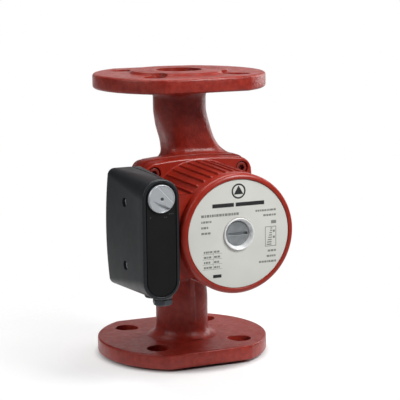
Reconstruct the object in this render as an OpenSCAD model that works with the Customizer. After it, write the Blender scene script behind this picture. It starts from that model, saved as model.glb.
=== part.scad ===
// Wet-rotor circulator pump with two flanged ports in line, a motor across the pipe
// and a terminal box with a three-position speed knob.
// Frame: +Z along the pipe, the origin at the centre of the lower port's sealing face,
// the motor pointing along -Y and the terminal box on the -X side of the motor.

/* [Ports] */
// Distance between the two sealing faces
face_to_face = 250; // [240:1:300]
// Diameter of the round part of a port flange
flange_d = 150; // [146:1:180]
// Distance across the two flats of a port flange
flange_flats = 130; // [124:1:140]
// Thickness of a port flange without its raised face
flange_t = 12; // [10:0.5:16]
// Diameter of the raised sealing face
raised_d = 88; // [70:1:92]
// Height of the raised sealing face
raised_h = 3; // [2:0.5:4]
// Bore of a port
port_d = 40; // [32:1:41]
// Outer diameter of the pipe neck behind a port flange
neck_d = 46; // [44:1:56]
// Wall thickness of the pipe neck
neck_wall = 4; // [3:0.5:5]
// Radius of the fillet between a neck and its flange
neck_fillet = 9; // [5:1:12]

/* [Flange bolts] */
// Bolts in each port flange
bolt_count = 4; // [4]
// Bolt circle of the larger bolts
bolt_pcd = 110; // [108:1:118]
// Hole for the larger bolts
bolt_hole_d = 19; // [17:0.5:20]
// Bolt circle of the smaller bolts that the same holes also take
small_bolt_pcd = 100; // [98:1:102]
// Hole for the smaller bolts
small_hole_d = 13.5; // [13:0.5:14]

/* [Pump housing] */
// Height of the motor axis above the lower sealing face
motor_height = 126; // [122:1:132]
// Distance from the pipe axis to the joint face of the pump housing
joint_front = 27; // [27:1:32]
// Width of the square joint flange of the pump housing
joint_w = 106; // [105:1:112]
// Thickness of the joint flange
joint_t = 12; // [10:1:13]
// Corner radius of the square flanges
corner_r = 12; // [8:1:14]
// Radius of the impeller chamber
chamber_r = 46.5; // [45:0.5:47]
// Wall around the impeller chamber
chamber_wall = 5.5; // [4.5:0.5:7]
// Diameter of the impeller
impeller_d = 76; // [66:1:82]
// Number of impeller vanes
vane_count = 6; // [5:1:8]
// Diameter of the impeller's suction eye
eye_d = 30; // [26:1:32]

/* [Motor] */
// Width of the square flange of the motor housing
motor_flange_w = 104; // [103:1:105]
// Thickness of the motor flange
motor_flange_t = 13; // [12:1:15]
// Distance between neighbouring motor screws
screw_pitch = 81; // [80:0.5:84]
// Outer diameter of the motor barrel at its flange
barrel_d = 99.2; // [98:0.2:100]
// Distance from the pipe axis to the front rim of the motor
motor_front = 121.3; // [121.3:0.5:126]
// Number of cooling ribs that would go once round the barrel
rib_count = 44; // [36:2:52]
// Height of a cooling rib
rib_h = 1.5; // [0.8:0.1:2]
// Width of a cooling rib
rib_w = 2.4; // [1.6:0.1:3]
// Diameter of the name plate
plate_d = 88.6; // [84:0.2:89]
// Outer diameter of the rotor can
can_d = 51.8; // [50:0.2:54]
// Wall of the rotor can
can_t = 0.6; // [0.5:0.1:0.8]
// Diameter of the shaft
shaft_d = 10; // [8:0.5:11]
// Length of the stator core
core_len = 44; // [30:1:46]

/* [Terminal box] */
// Width of the terminal box at its front
box_w = 31.4; // [30:0.2:34]
// Height of the terminal box
box_h = 98; // [94:1:104]
// Length of the terminal box along the motor
box_len = 76; // [72:1:78]
// Wall thickness of the terminal box
box_wall = 2.2; // [1.8:0.1:2.6]
// Depth of the terminal box base
base_depth = 11.2; // [10:0.2:13]
// Diameter of the speed knob
knob_d = 22.6; // [20:0.2:24]
// Turn of the knob's pointer from the +X side, at the third speed
knob_angle = -36; // [-60:1:-20]
// Diameter of the cable that the gland takes
cable_d = 6.4; // [5:0.2:7]

/* [Hidden] */
$fn = 96;

run_gap = 0.03;
slip_gap = 0.1;
part_gap = 0.3;
over = 1;

// Pump housing
flange_top = raised_h + flange_t;
edge_break = 1.2;
neck_r = neck_d / 2;
neck_bore_r = neck_r - neck_wall;
port_bore_len = flange_top + 6;
port_taper = 6;
chamber_back = -6;
body_r = chamber_r + chamber_wall;
ring_seat_t = 6;
pocket_r = 24;
pocket_wall = 5;
pocket_back = chamber_back - ring_seat_t - 20;
housing_back = pocket_back - pocket_wall;
screw_half = screw_pitch / 2;
screw_d = 6;
screw_head_d = 10;
screw_head_h = 6;
socket_af = 5;
socket_depth = 3.5;
screw_sink = screw_head_h + 1;
key_space = 12;
counterbore_d = 11.6;
side_crown = 2;
thread_depth = 14;
gasket_t = 1;

// Hydraulics and rotor, measured forward from the pipe axis
eye_gap = 0.3;
ring_t = 2.7;
ring_out_r = eye_d / 2 + eye_gap + ring_t;
impeller_back = chamber_back + 2;
shroud_t = 1.5;
vane_t = 2;
vane_h = 7.5;
hub_r = 9;
hub_front = impeller_back + 15;
bush_r = 9;
bush_gap = 0.2;
rear_bush_back = hub_front + 3;
rear_bush_len = 11;
shaft_r = shaft_d / 2;
plate_t = 1.6;
plate_front = joint_front - 1.4;
can_flange_front = plate_front + 1;
can_r = can_d / 2;
can_in_r = can_r - can_t;
air_gap = 0.5;
rotor_r = can_in_r - air_gap;
rim_r = 49.3;
rim_len = 14;
plate_seat = motor_front - 1.3;
front_wall = 6.6;
can_end = motor_front - 32.3;
boss_end = motor_front - 8.3;
core_back = joint_front + 9;
core_front = core_back + core_len;
core_in_r = can_r + slip_gap;
core_out_r = 44;
slot_count = 24;
slot_w = 3;
slot_in_r = 29;
slot_out_r = 39;
end_ring_t = 3;
rotor_back = core_back - 4;
rotor_front = core_front + 4;
vent_r = 9.8;
vent_hole_r = 13.3;
vent_thread_r = 8;
vent_face = motor_front - 2.7;
vent_head_t = 4;
slot_depth = 2;
slot_width = 1.8;

// Terminal box, in motor coordinates: x to the right, y up, z forward
boss_x = -50;
boss_half = 33;
box_gap = 0.2;
box_right = boss_x - box_gap;
box_r = box_w / 2;
box_x = box_right - box_r;
box_y = box_h / 2 - box_r;
box_front = motor_front - 3.8;
box_back = box_front - box_len;
box_bulge = 4;
back_r = 6;
nose_len = 10;
nose_edge = 1.2;
seam_t = 0.8;
seam_x = box_right - base_depth;
nose_back = box_front - 17;
panel_step = 2.7;
panel_t = 1.2;
panel_sink = 0.4;
knob_r = knob_d / 2;
knob_t = 1.4;
wedge_t = 1.6;
knob_back = box_front - panel_sink + part_gap;
spindle_r = 3;
switch_w = 18;
switch_t = 11;
switch_front = box_front - panel_step - part_gap - 0.4;
wall_x = box_right - box_wall;
base_screw_y = 24;
base_screw_z = box_back + 14;
cover_screw_y = 26;
pillar_r = 4.4;
cover_screw_z = box_back + 38.5;
lead_z = box_back + 46.5;
lead_r = 5;
gland_r = 6;
gland_x = box_right - 8.4;
gland_z = nose_back - gland_r - 0.5;
plug_z = gland_z - 20;
lug_low = -box_h / 2 - 0.6;
lug_high = lug_low + 10;
lug_left = gland_x - 8;
lug_back = plug_z - 11;
gland_low = lug_low - 11.4;
gland_hex_r = 8.8;

module at_motor() {
  translate([0, 0, motor_height]) rotate([90, 0, 0]) children();
}

function arc(cx, cy, r, from, to, steps = 8) =
  [for (i = [0:steps]) let (a = from + (to - from) * i / steps)
    [cx + r * cos(a), cy + r * sin(a)]];

module ring(out_r, in_r, back, front) {
  difference() {
    translate([0, 0, back]) cylinder(r = out_r, h = front - back);
    translate([0, 0, back - over]) cylinder(r = in_r, h = front - back + 2 * over);
  }
}

// A square with round corners whose sides bulge a little in the middle
module crowned_square(w, r) {
  corner = w / 2 - side_crown - r;
  for (turn = [0:90:270]) rotate(turn) polygon(concat(
    [[0, 0]],
    [for (t = [-1:0.25:1]) [w / 2 - side_crown * t * t, corner * t]],
    arc(corner, corner, r, 0, 90)));
}

module at_screws() {
  for (x = [-1, 1], y = [-1, 1])
    translate([x * screw_half, y * screw_half, 0]) children();
}

// A port flange with its face at z = 0 and its neck going up
module port_flange() {
  intersection() {
    rotate_extrude() polygon([
      [0, raised_h], [flange_d / 2 - edge_break, raised_h],
      [flange_d / 2, raised_h + edge_break], [flange_d / 2, flange_top - edge_break],
      [flange_d / 2 - edge_break, flange_top], [0, flange_top]]);
    translate([-flange_d, -flange_flats / 2, 0]) cube([2 * flange_d, flange_flats, flange_top]);
  }
  cylinder(d = raised_d, h = raised_h + over);
}

// The straight part of a neck, with the fillet that carries it into its flange
module neck(len) {
  rotate_extrude() polygon(concat(
    [[0, raised_h + over], [neck_r + neck_fillet, raised_h + over]],
    arc(neck_r + neck_fillet, flange_top + neck_fillet, neck_fillet, -90, -180),
    [[neck_r, len], [0, len]]));
}

module port_bore(len) {
  translate([0, 0, -over]) cylinder(d = port_d, h = port_bore_len + over);
  translate([0, 0, port_bore_len]) cylinder(r1 = port_d / 2, r2 = neck_bore_r, h = port_taper);
  cylinder(r = neck_bore_r, h = len);
}

module bolt_holes() {
  for (i = [0:bolt_count - 1]) rotate(45 + i * 360 / bolt_count) {
    translate([bolt_pcd / 2, 0, -over]) cylinder(d = bolt_hole_d, h = flange_top + 2 * over);
    translate([small_bolt_pcd / 2, 0, -over]) cylinder(d = small_hole_d, h = flange_top + 2 * over);
  }
}

module at_top() {
  translate([0, 0, face_to_face]) mirror([0, 0, 1]) children();
}

// A thin slice of a duct, round or widened to one side
module slice(x, y, z, r, wide = 0) {
  translate([x, y, z]) cylinder(r = r, h = slice_t, $fn = 40);
  translate([x + wide, y, z]) cylinder(r = r, h = slice_t, $fn = 40);
}

slice_t = 0.5;
seam = 0.3;
duct_top = motor_height + 86;
duct_bend = motor_height + 74;
duct_mid = motor_height + 62;
duct_low = motor_height + 48;
suction_low = motor_height - 74;
suction_high = motor_height - 50;
back_mid_y = -(pocket_back + chamber_back - ring_seat_t) / 2;

module housing_outside() {
  port_flange();
  neck(suction_low + slice_t / 2);
  at_top() port_flange();
  at_top() neck(face_to_face - duct_top - slice_t / 2);
  hull() {
    slice(0, 0, duct_top, neck_r + seam);
    slice(3, 0, duct_bend, neck_r - 1);
  }
  hull() {
    slice(3, 0, duct_bend, neck_r - 1);
    slice(6.5, 0, duct_mid, neck_r - 1.5, 1);
  }
  hull() {
    slice(6.5, 0, duct_mid, neck_r - 1.5, 1);
    slice(2.5, 0, duct_low, neck_r - 4, 19);
    slice(2.5, 0, duct_low - 12, neck_r - 5, 22);
  }
  hull() {
    slice(0, 0, suction_low, neck_r + seam);
    slice(-4, 2, suction_high, neck_r - 4, 8);
    slice(-8, back_mid_y, suction_high, pocket_r - 9, 16);
  }
  translate([0, 0, suction_high]) linear_extrude(motor_height - suction_high)
    translate([-pocket_r, 0]) square([2 * pocket_r, -housing_back - 3]);
  translate([-3, 0, 0]) rotate([90, 0, 90]) linear_extrude(6)
    polygon([[-neck_r + 2, flange_top + 12], [-joint_front + joint_t - 9, motor_height - 62],
      [-joint_front + joint_t - 9, motor_height - joint_w / 2 + 2], [0, motor_height - joint_w / 2 + 2],
      [0, flange_top + 12]]);
  at_motor() {
    rotate_extrude() polygon(concat(
      [[0, housing_back]],
      arc(pocket_r + pocket_wall - 9, housing_back + 9, 9, -90, 0),
      [[pocket_r + pocket_wall, chamber_back - 13]],
      arc(body_r - 8, chamber_back + 3, 8, -90, 0),
      [[body_r, joint_front - 2], [0, joint_front - 2]]));
    translate([0, 0, joint_front - joint_t]) linear_extrude(joint_t) crowned_square(joint_w, corner_r);
    at_screws() translate([0, 0, joint_front - joint_t - 8]) cylinder(r = 8.5, h = 8 + over);
  }
}

module housing_inside() {
  port_bore(suction_low + slice_t / 2);
  at_top() port_bore(face_to_face - duct_top - slice_t / 2);
  bolt_holes();
  at_top() bolt_holes();
  hull() {
    slice(0, 0, duct_top, neck_bore_r + seam);
    slice(2, -5, motor_height + 34, 12, 12);
  }
  hull() {
    slice(0, 0, suction_low, neck_bore_r + seam);
    slice(-8, back_mid_y, suction_high + 2, 10, 16);
  }
  translate([-pocket_r + 6, -chamber_back + ring_seat_t, suction_high])
    cube([2 * pocket_r - 12, 20, motor_height - suction_high]);
  at_motor() {
    translate([0, 0, chamber_back]) cylinder(r = chamber_r, h = joint_front - chamber_back + over);
    translate([0, 0, chamber_back - ring_seat_t - over])
      cylinder(r = ring_out_r, h = ring_seat_t + 2 * over);
    translate([0, 0, pocket_back]) cylinder(r = pocket_r, h = 20);
    at_screws() translate([0, 0, joint_front - thread_depth])
      cylinder(r = screw_d / 2 + slip_gap, h = thread_depth + over);
  }
}

module pump_housing() {
  color("#9e2b22") difference() {
    housing_outside();
    housing_inside();
  }
}

module neck_ring() {
  color("#b9bcbf") at_motor()
    ring(ring_out_r, ring_out_r - ring_t, chamber_back - ring_seat_t, chamber_back);
}

function vane_edge(side, steps = 10) =
  [for (i = [0:steps]) let (t = i / steps, r = eye_d / 2 - 1 + (impeller_d - eye_d) / 2 * t,
      a = -58 * t + side * vane_t / 2 / r * 180 / PI) [r * cos(a), r * sin(a)]];

module vane() {
  back_edge = vane_edge(-1);
  front_edge = vane_edge(1);
  linear_extrude(vane_h)
    polygon(concat(back_edge, [for (i = [len(front_edge) - 1:-1:0]) front_edge[i]]));
}

module impeller() {
  vane_back = impeller_back + shroud_t;
  vane_front = vane_back + vane_h;
  color("#8f8577") at_motor() {
    ring(eye_d / 2, eye_d / 2 - 2, impeller_back - 6, impeller_back + over / 2);
    ring(impeller_d / 2, eye_d / 2 - 2, impeller_back, vane_back + 0.01);
    ring(impeller_d / 2, shaft_r, vane_front - 0.01, vane_front + shroud_t);
    ring(hub_r, shaft_r, vane_front - 4, hub_front);
    for (i = [0:vane_count - 1]) rotate(i * 360 / vane_count)
      translate([0, 0, vane_back]) vane();
  }
}

module impeller_nut() {
  nut_front = impeller_back + shroud_t + vane_h - 4;
  color("#a8acb0") at_motor() difference() {
    translate([0, 0, nut_front - 6]) cylinder(r = 8, h = 6, $fn = 6);
    translate([0, 0, nut_front - 5]) cylinder(r = shaft_r, h = 6);
  }
}

module shaft() {
  shaft_back = impeller_back + shroud_t + vane_h - 9;
  shaft_front = boss_end - 10;
  color("#c9ccce") at_motor() difference() {
    translate([0, 0, shaft_back]) cylinder(r = shaft_r, h = shaft_front - shaft_back);
    translate([-shaft_r - over, -0.6, shaft_front - 2]) cube([shaft_d + 2 * over, 1.2, 2 + over]);
  }
}

module thrust_ring() {
  color("#2b2c2e") at_motor() ring(hub_r - 1, shaft_r, hub_front, rear_bush_back - bush_gap);
}

module rotor_core() {
  color("#8b8f93") at_motor() ring(rotor_r, shaft_r, rotor_back, rotor_front);
}

module rotor_end_rings() {
  color("#c4c7c9") at_motor() {
    ring(rotor_r - 1, shaft_r + 5, rotor_back - end_ring_t, rotor_back);
    ring(rotor_r - 1, shaft_r + 5, rotor_front, rotor_front + end_ring_t);
  }
}

module bearing_plate() {
  hub_out = bush_r + 2.5;
  web = plate_front - 2.2 - plate_t;
  rim_in = chamber_r - 12;
  color("#b9bcbf") at_motor() rotate_extrude() polygon([
    [bush_r, rear_bush_back], [hub_out, rear_bush_back], [hub_out, web], [rim_in - 5, web],
    [rim_in, web + 2.2], [chamber_r - slip_gap, web + 2.2], [chamber_r - slip_gap, plate_front],
    [rim_in - 0.8, plate_front], [rim_in - 5.8, web + plate_t], [hub_out, web + plate_t],
    [hub_out, rear_bush_back + rear_bush_len], [bush_r, rear_bush_back + rear_bush_len]]);
}

module rear_bush() {
  color("#e6e1d6") at_motor()
    ring(bush_r, shaft_r + run_gap, rear_bush_back, rear_bush_back + rear_bush_len);
}

module front_bush() {
  color("#e6e1d6") at_motor() ring(bush_r, shaft_r + run_gap, can_end, can_end + 12);
}

module bush_holder() {
  color("#2a2a2c") at_motor() ring(bush_r + 4, bush_r, can_end, can_end + 12);
}

module rotor_can() {
  seat_r = bush_r + 4;
  boss_r = vent_thread_r + 2.6;
  color("#c2c5c8") at_motor() rotate_extrude() polygon([
    [chamber_r - slip_gap, plate_front], [chamber_r - slip_gap, can_flange_front],
    [can_r, can_flange_front], [can_r, can_end + can_t], [seat_r + can_t, can_end + can_t],
    [seat_r + can_t, can_end + 13], [boss_r, can_end + 13], [boss_r, boss_end],
    [vent_thread_r + slip_gap, boss_end], [vent_thread_r + slip_gap, can_end + 12.4],
    [seat_r, can_end + 12.4], [seat_r, can_end], [can_in_r, can_end], [can_in_r, plate_front]]);
}

module can_seal() {
  color("#1e1e20") at_motor()
    ring(chamber_r - 1, chamber_r - 4, can_flange_front, joint_front + gasket_t);
}

module joint_gasket() {
  color("#2a2a2c") at_motor() translate([0, 0, joint_front]) difference() {
    linear_extrude(gasket_t) crowned_square(motor_flange_w - 2, corner_r);
    translate([0, 0, -over]) cylinder(r = chamber_r, h = gasket_t + 2 * over);
    at_screws() translate([0, 0, -over]) cylinder(r = screw_d / 2 + part_gap, h = gasket_t + 2 * over);
  }
}

module slots(shrink, back, len) {
  for (i = [0:slot_count - 1]) rotate(i * 360 / slot_count)
    translate([slot_in_r + shrink, -slot_w / 2 + shrink, back])
      cube([slot_out_r - slot_in_r - 2 * shrink, slot_w - 2 * shrink, len]);
}

module stator_core() {
  color("#6f7478") at_motor() difference() {
    ring(core_out_r, core_in_r, core_back, core_front);
    slots(0, core_back - over, core_len + 2 * over);
  }
}

module stator_windings() {
  winding_back = joint_front + gasket_t + 0.6;
  color("#b4622d") at_motor() {
    ring(slot_out_r + 1.5, slot_in_r - 1, winding_back, core_back - part_gap);
    ring(slot_out_r + 1.5, slot_in_r - 1, core_front + part_gap, core_front + 14);
    slots(slip_gap, winding_back + over, core_front + 13 - winding_back);
  }
}

motor_back = joint_front + gasket_t;
flange_face = motor_back + motor_flange_t;
rim_back = motor_front - rim_len;
rib_front = rim_back - 1.2;

// Cooling ribs go all round except where the terminal box is mounted
module ribs() {
  step = 360 / rib_count;
  for (i = [0:rib_count - 1]) {
    a = (i + 0.5) * step;
    if (abs(a - 180) > 44) rotate(a) translate([rim_r - 4, -rib_w / 2, flange_face - over])
      cube([barrel_d / 2 + rib_h - rim_r + 4, rib_w, rib_front - flange_face + over]);
  }
}

module motor_outside() {
  translate([0, 0, motor_back]) linear_extrude(motor_flange_t) crowned_square(motor_flange_w, corner_r);
  rotate_extrude() polygon(concat(
    [[0, motor_back], [barrel_d / 2, motor_back], [barrel_d / 2, flange_face],
     [rim_r - 1.3, rim_back], [rim_r - 0.4, rim_back + 0.6], [rim_r, rim_back + 1.6]],
    arc(rim_r - 3.4, motor_front - 3.4, 3.4, 0, 90),
    [[0, motor_front]]));
  intersection() {
    ribs();
    translate([0, 0, flange_face - over])
      cylinder(r1 = barrel_d / 2 + rib_h, r2 = rim_r, h = rib_front - flange_face + over);
  }
  translate([boss_x, -boss_half, flange_face - over])
    cube([14, 2 * boss_half, rim_back + 5 - flange_face + over]);
}

module stator_housing() {
  color("#a93226") at_motor() difference() {
    motor_outside();
    translate([0, 0, motor_back - over])
      cylinder(r = core_out_r + slip_gap, h = core_front + 0.5 - motor_back + over);
    translate([0, 0, core_front]) cylinder(r = core_out_r - 2, h = plate_seat - front_wall - core_front);
    translate([0, 0, plate_seat - front_wall - over])
      cylinder(r = vent_hole_r, h = front_wall + 2 * over + 2);
    translate([0, 0, plate_seat]) cylinder(r = plate_d / 2 + part_gap, h = motor_front);
    at_screws() {
      translate([0, 0, motor_back - over])
        cylinder(r = screw_d / 2 + part_gap, h = motor_flange_t + 2 * over);
      translate([0, 0, flange_face - screw_sink]) cylinder(d = counterbore_d, h = screw_sink + key_space);
    }
    translate([boss_x - over, 0, lead_z]) rotate([0, 90, 0]) cylinder(r = lead_r + slip_gap, h = 14);
    for (y = [-1, 1]) translate([boss_x - over, y * base_screw_y, base_screw_z])
      rotate([0, 90, 0]) cylinder(r = 2 + slip_gap, h = 6 + over);
  }
}

module motor_screws() {
  head_back = flange_face - screw_sink;
  color("#5d4038") at_motor() at_screws() difference() {
    union() {
      translate([0, 0, head_back]) cylinder(d = screw_head_d, h = screw_head_h);
      translate([0, 0, joint_front - thread_depth + 1])
        cylinder(d = screw_d, h = head_back - joint_front + thread_depth);
    }
    translate([0, 0, head_back + screw_head_h - socket_depth])
      cylinder(r = socket_af / sqrt(3), h = socket_depth + over, $fn = 6);
  }
}

module name_plate() {
  color("#d9d9d2") at_motor() ring(plate_d / 2, vent_hole_r + 0.2, plate_seat, plate_seat + 0.4);
}

module vent_collar() {
  collar_back = plate_seat - 5.6;
  color("#e4e6e6") at_motor() rotate_extrude() polygon([
    [vent_r + 0.3, collar_back], [vent_hole_r - slip_gap, collar_back],
    [vent_hole_r - slip_gap, plate_seat + 1.6], [vent_hole_r - 0.5, plate_seat + 2],
    [vent_hole_r - 1, plate_seat + 2], [vent_r + 0.3, vent_face - 0.8]]);
}

module vent_screw() {
  color("#858b90") at_motor() difference() {
    union() {
      translate([0, 0, vent_face - vent_head_t]) cylinder(r = vent_r, h = vent_head_t);
      translate([0, 0, boss_end - 8]) cylinder(r = vent_thread_r, h = vent_face - boss_end + 4.5);
    }
    translate([-vent_r + 1.4, -slot_width / 2, vent_face - slot_depth])
      cube([2 * vent_r - 2.8, slot_width, slot_depth + over]);
  }
}

module vent_seal() {
  color("#1e1e20") at_motor()
    ring(vent_thread_r + 1.4, vent_thread_r + slip_gap,
      boss_end + slip_gap, vent_face - vent_head_t - slip_gap);
}

// The outer form of the terminal box; shrink makes the same form for its inside
module box_form(shrink = 0) {
  hull() {
    for (y = [-1, 1]) {
      translate([box_x, y * box_y, box_front - nose_len])
        cylinder(r = box_r - shrink, h = nose_len - nose_edge - shrink, $fn = 48);
      translate([box_x, y * box_y, box_front - nose_len])
        cylinder(r = box_r - nose_edge - shrink, h = nose_len - shrink, $fn = 48);
      translate([box_right - back_r, y * (box_h / 2 - back_r), box_back + shrink])
        cylinder(r = back_r - shrink, h = 6, $fn = 32);
      translate([box_right - box_w + back_r, y * (box_h / 2 - back_r), box_back + shrink])
        cylinder(r = back_r - shrink, h = 6, $fn = 32);
      translate([box_right - box_w - box_bulge + back_r, y * box_h / 6, box_back + 4 + shrink])
        cylinder(r = back_r - shrink, h = 8, $fn = 32);
    }
  }
}

module stadium(r, back, front) {
  translate([box_x, 0, back]) linear_extrude(front - back) {
    square([2 * r, 2 * box_y], center = true);
    for (y = [-1, 1]) translate([0, y * box_y]) circle(r);
  }
}

// The space to the right of the seam and behind the nose of the cover
module base_space(back, left, front) {
  translate([left, -box_h, back]) cube([base_depth * 3, 2 * box_h, front - back]);
}

module gland_lug() {
  difference() {
    translate([lug_left, lug_low, lug_back])
      cube([box_right - lug_left, lug_high - lug_low, nose_back - part_gap - lug_back]);
    for (z = [gland_z, plug_z]) translate([gland_x, lug_low - over, z])
      rotate([-90, 0, 0]) cylinder(r = gland_r + slip_gap, h = lug_high - lug_low + 2 * over);
  }
}

module terminal_box_base() {
  base_front = nose_back - part_gap;
  color("#34373b") at_motor() difference() {
    union() {
      difference() {
        intersection() {
          box_form();
          base_space(box_back - over, seam_x, base_front);
        }
        intersection() {
          box_form(box_wall);
          translate([seam_x - over, -box_h, box_back])
            cube([wall_x - seam_x + over, 2 * box_h, base_front - box_wall - box_back]);
        }
      }
      gland_lug();
      for (y = [-1, 1]) translate([seam_x, y * cover_screw_y, cover_screw_z])
        rotate([0, 90, 0]) cylinder(r = pillar_r, h = wall_x - seam_x + over);
    }
    for (y = [-1, 1]) translate([seam_x - over, y * cover_screw_y, cover_screw_z])
      rotate([0, 90, 0]) cylinder(r = 1.6 + slip_gap, h = wall_x - seam_x);
    translate([wall_x - over, 0, lead_z]) rotate([0, 90, 0])
      cylinder(r = lead_r + slip_gap, h = box_wall + 2 * over);
    for (y = [-1, 1]) translate([wall_x - over, y * base_screw_y, base_screw_z])
      rotate([0, 90, 0]) cylinder(r = 2.2, h = box_wall + 2 * over);
    for (z = [gland_z, plug_z]) translate([gland_x, lug_low - over, z])
      rotate([-90, 0, 0]) cylinder(r = gland_r + slip_gap, h = lug_high - lug_low + 2 * over);
  }
}

module base_screws() {
  color("#b9bcbf") at_motor() for (y = [-1, 1]) translate([wall_x, y * base_screw_y, base_screw_z])
    rotate([0, 90, 0]) difference() {
      union() {
        translate([0, 0, -2.5]) cylinder(r = 3.8, h = 2.5);
        cylinder(r = 2, h = box_wall + box_gap + 5.5);
      }
      translate([-3, -0.5, -2.5 - over]) cube([6, 1, 1 + over]);
    }
}

module base_gasket() {
  color("#1e1e20") at_motor() translate([box_right, 0, lead_z]) rotate([0, 90, 0])
    ring(lead_r + 5, lead_r + 0.4, 0, box_gap);
}

module box_gasket() {
  color("#17181a") at_motor() difference() {
    intersection() {
      difference() {
        box_form(0.6);
        box_form(box_wall);
      }
      base_space(box_back - over, seam_x - seam_t, nose_back - 3);
    }
    translate([seam_x, -box_h, 0]) cube([30, 2 * box_h, box_front]);
    translate([lug_left - part_gap, -box_h, lug_back - part_gap])
      cube([30, box_h + lug_high + part_gap, 60]);
  }
}

module at_cover_screws() {
  for (y = [-1, 1]) translate([box_right - box_w - box_bulge, y * cover_screw_y, cover_screw_z])
    rotate([0, 90, 0]) children();
}

module terminal_box_cover() {
  color("#25272a") at_motor() difference() {
    union() {
      difference() {
        box_form();
        box_form(box_wall);
        base_space(box_back - over, seam_x - seam_t, nose_back);
      }
      at_cover_screws() translate([0, 0, 4.2])
        cylinder(r = pillar_r, h = box_w + box_bulge - base_depth - seam_t - 5);
      stadium(box_r - 1.2, box_front - panel_step - 1.4, box_front - 1);
    }
    stadium(box_r - panel_step, box_front - panel_t - panel_sink, box_front + over);
    translate([box_x, box_y, box_front - 10]) cylinder(r = spindle_r + 1, h = 20);
    at_cover_screws() {
      translate([0, 0, -over]) cylinder(r = 3.2, h = 6);
      cylinder(r = 1.6 + slip_gap, h = 40);
    }
    translate([lug_left - part_gap, -box_h, lug_back - part_gap])
      cube([30, box_h + lug_high + part_gap, nose_back - lug_back]);
  }
}

module cover_screws() {
  color("#b9bcbf") at_motor() at_cover_screws() difference() {
    union() {
      translate([0, 0, 2.6]) cylinder(r = 2.8, h = 2.2);
      translate([0, 0, 4]) cylinder(r = 1.6, h = box_w + box_bulge - base_depth + 3);
    }
    translate([-0.4, -3, 2]) cube([0.8, 6, 1.6]);
  }
}

module front_panel() {
  color("#1b1c1d") at_motor() difference() {
    stadium(box_r - panel_step - 0.2, box_front - panel_t - panel_sink, box_front - panel_sink);
    translate([box_x, box_y, box_front - 10]) cylinder(r = spindle_r + 1, h = 20);
  }
}

module speed_switch() {
  color("#3a3d40") at_motor() difference() {
    translate([box_x - switch_w / 2, box_y - switch_w / 2 - 1, switch_front - switch_t - 1.4])
      cube([switch_w, switch_w, switch_t]);
    translate([box_x, box_y, 0]) cylinder(r = spindle_r + run_gap, h = motor_front);
  }
}

module switch_spindle() {
  color("#d8d8d4") at_motor() translate([box_x, box_y, switch_front - switch_t])
    cylinder(r = spindle_r, h = knob_back + 0.8 - switch_front + switch_t);
}

// A disc with a raised pointer that narrows towards the chosen speed
module speed_knob() {
  color("#b9bcc0") at_motor() translate([box_x, box_y, 0]) rotate(knob_angle) difference() {
    union() {
      translate([0, 0, knob_back]) cylinder(r = knob_r, h = knob_t);
      intersection() {
        translate([0, 0, knob_back]) cylinder(r = knob_r, h = knob_t + wedge_t);
        translate([0, 0, knob_back]) linear_extrude(knob_t + wedge_t)
          polygon([[-knob_r - 1, 6.2], [knob_r + 1, 2.2], [knob_r + 1, -2.2], [-knob_r - 1, -6.2]]);
      }
    }
    translate([0, 0, knob_back - over]) cylinder(r = spindle_r, h = 0.8 + over);
    translate([0, 0, knob_back + knob_t + wedge_t - 1]) cylinder(r = 1.4, h = 2);
  }
}

cap_r = 9;
cap_x = box_right - box_w + 9;
cap_z = box_back + 17;

module capacitor() {
  color("#d9dadb") at_motor() translate([cap_x, -28, cap_z]) rotate([-90, 0, 0]) {
    cylinder(r = cap_r, h = 44);
    for (x = [-3, 3]) translate([x, 0, 44]) cylinder(r = 1, h = 6);
  }
}

module capacitor_clip() {
  color("#b9bcbf") at_motor() translate([cap_x, -14, cap_z]) rotate([-90, 0, 0]) {
    ring(cap_r + 0.8, cap_r, 0, 8);
    translate([cap_r + 0.4, -4, 0]) cube([wall_x - cap_x - cap_r - 0.4, 8, 1.2]);
  }
}

block_x = wall_x - 15;
block_y = -19;
block_z = lead_z - 12;

module terminal_block() {
  color("#e8e6dd") at_motor() difference() {
    translate([block_x, block_y, block_z - 8]) cube([15, 30, 14]);
    for (i = [0:2]) translate([block_x - over, block_y + 5 + i * 10, block_z - 3])
      rotate([0, 90, 0]) cylinder(r = 2.6, h = 9 + over);
  }
}

module terminal_screws() {
  color("#c9b458") at_motor() for (i = [0:2]) translate([block_x + 4, block_y + 5 + i * 10, block_z - 3])
    rotate([0, 90, 0]) difference() {
      cylinder(r = 2.4, h = 5);
      translate([-3, -0.4, -over]) cube([6, 0.8, 1.2 + over]);
    }
}

module earth_screw() {
  color("#c9b458") at_motor() translate([wall_x - 4, 14, lead_z]) rotate([0, 90, 0]) difference() {
    cylinder(r = 3.4, h = 4);
    translate([-4, -0.5, -over]) cube([8, 1, 1 + over]);
  }
}

module lead_grommet() {
  color("#1e1e20") at_motor() translate([wall_x - 1.5, 0, lead_z]) rotate([0, 90, 0])
    ring(lead_r, lead_r - 1.8, 0, box_wall + box_gap + 7);
}

module at_gland() {
  at_motor() translate([gland_x, 0, gland_z]) rotate([-90, 0, 0]) children();
}

module gland_body() {
  color("#59636e") at_gland() difference() {
    union() {
      translate([0, 0, lug_low - 4]) cylinder(r = gland_hex_r, h = 4, $fn = 6);
      translate([0, 0, lug_low - over]) cylinder(r = gland_r, h = lug_high - lug_low + over + 1);
      translate([0, 0, gland_low + 3]) cylinder(r = gland_r, h = lug_low - gland_low - 4);
    }
    translate([0, 0, gland_low]) cylinder(r = cable_d / 2 + 0.3, h = 40);
  }
}

module gland_seal() {
  color("#1e1e20") at_gland() ring(cable_d / 2 + 0.3, cable_d / 2, gland_low + 2.9, lug_low);
}

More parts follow.
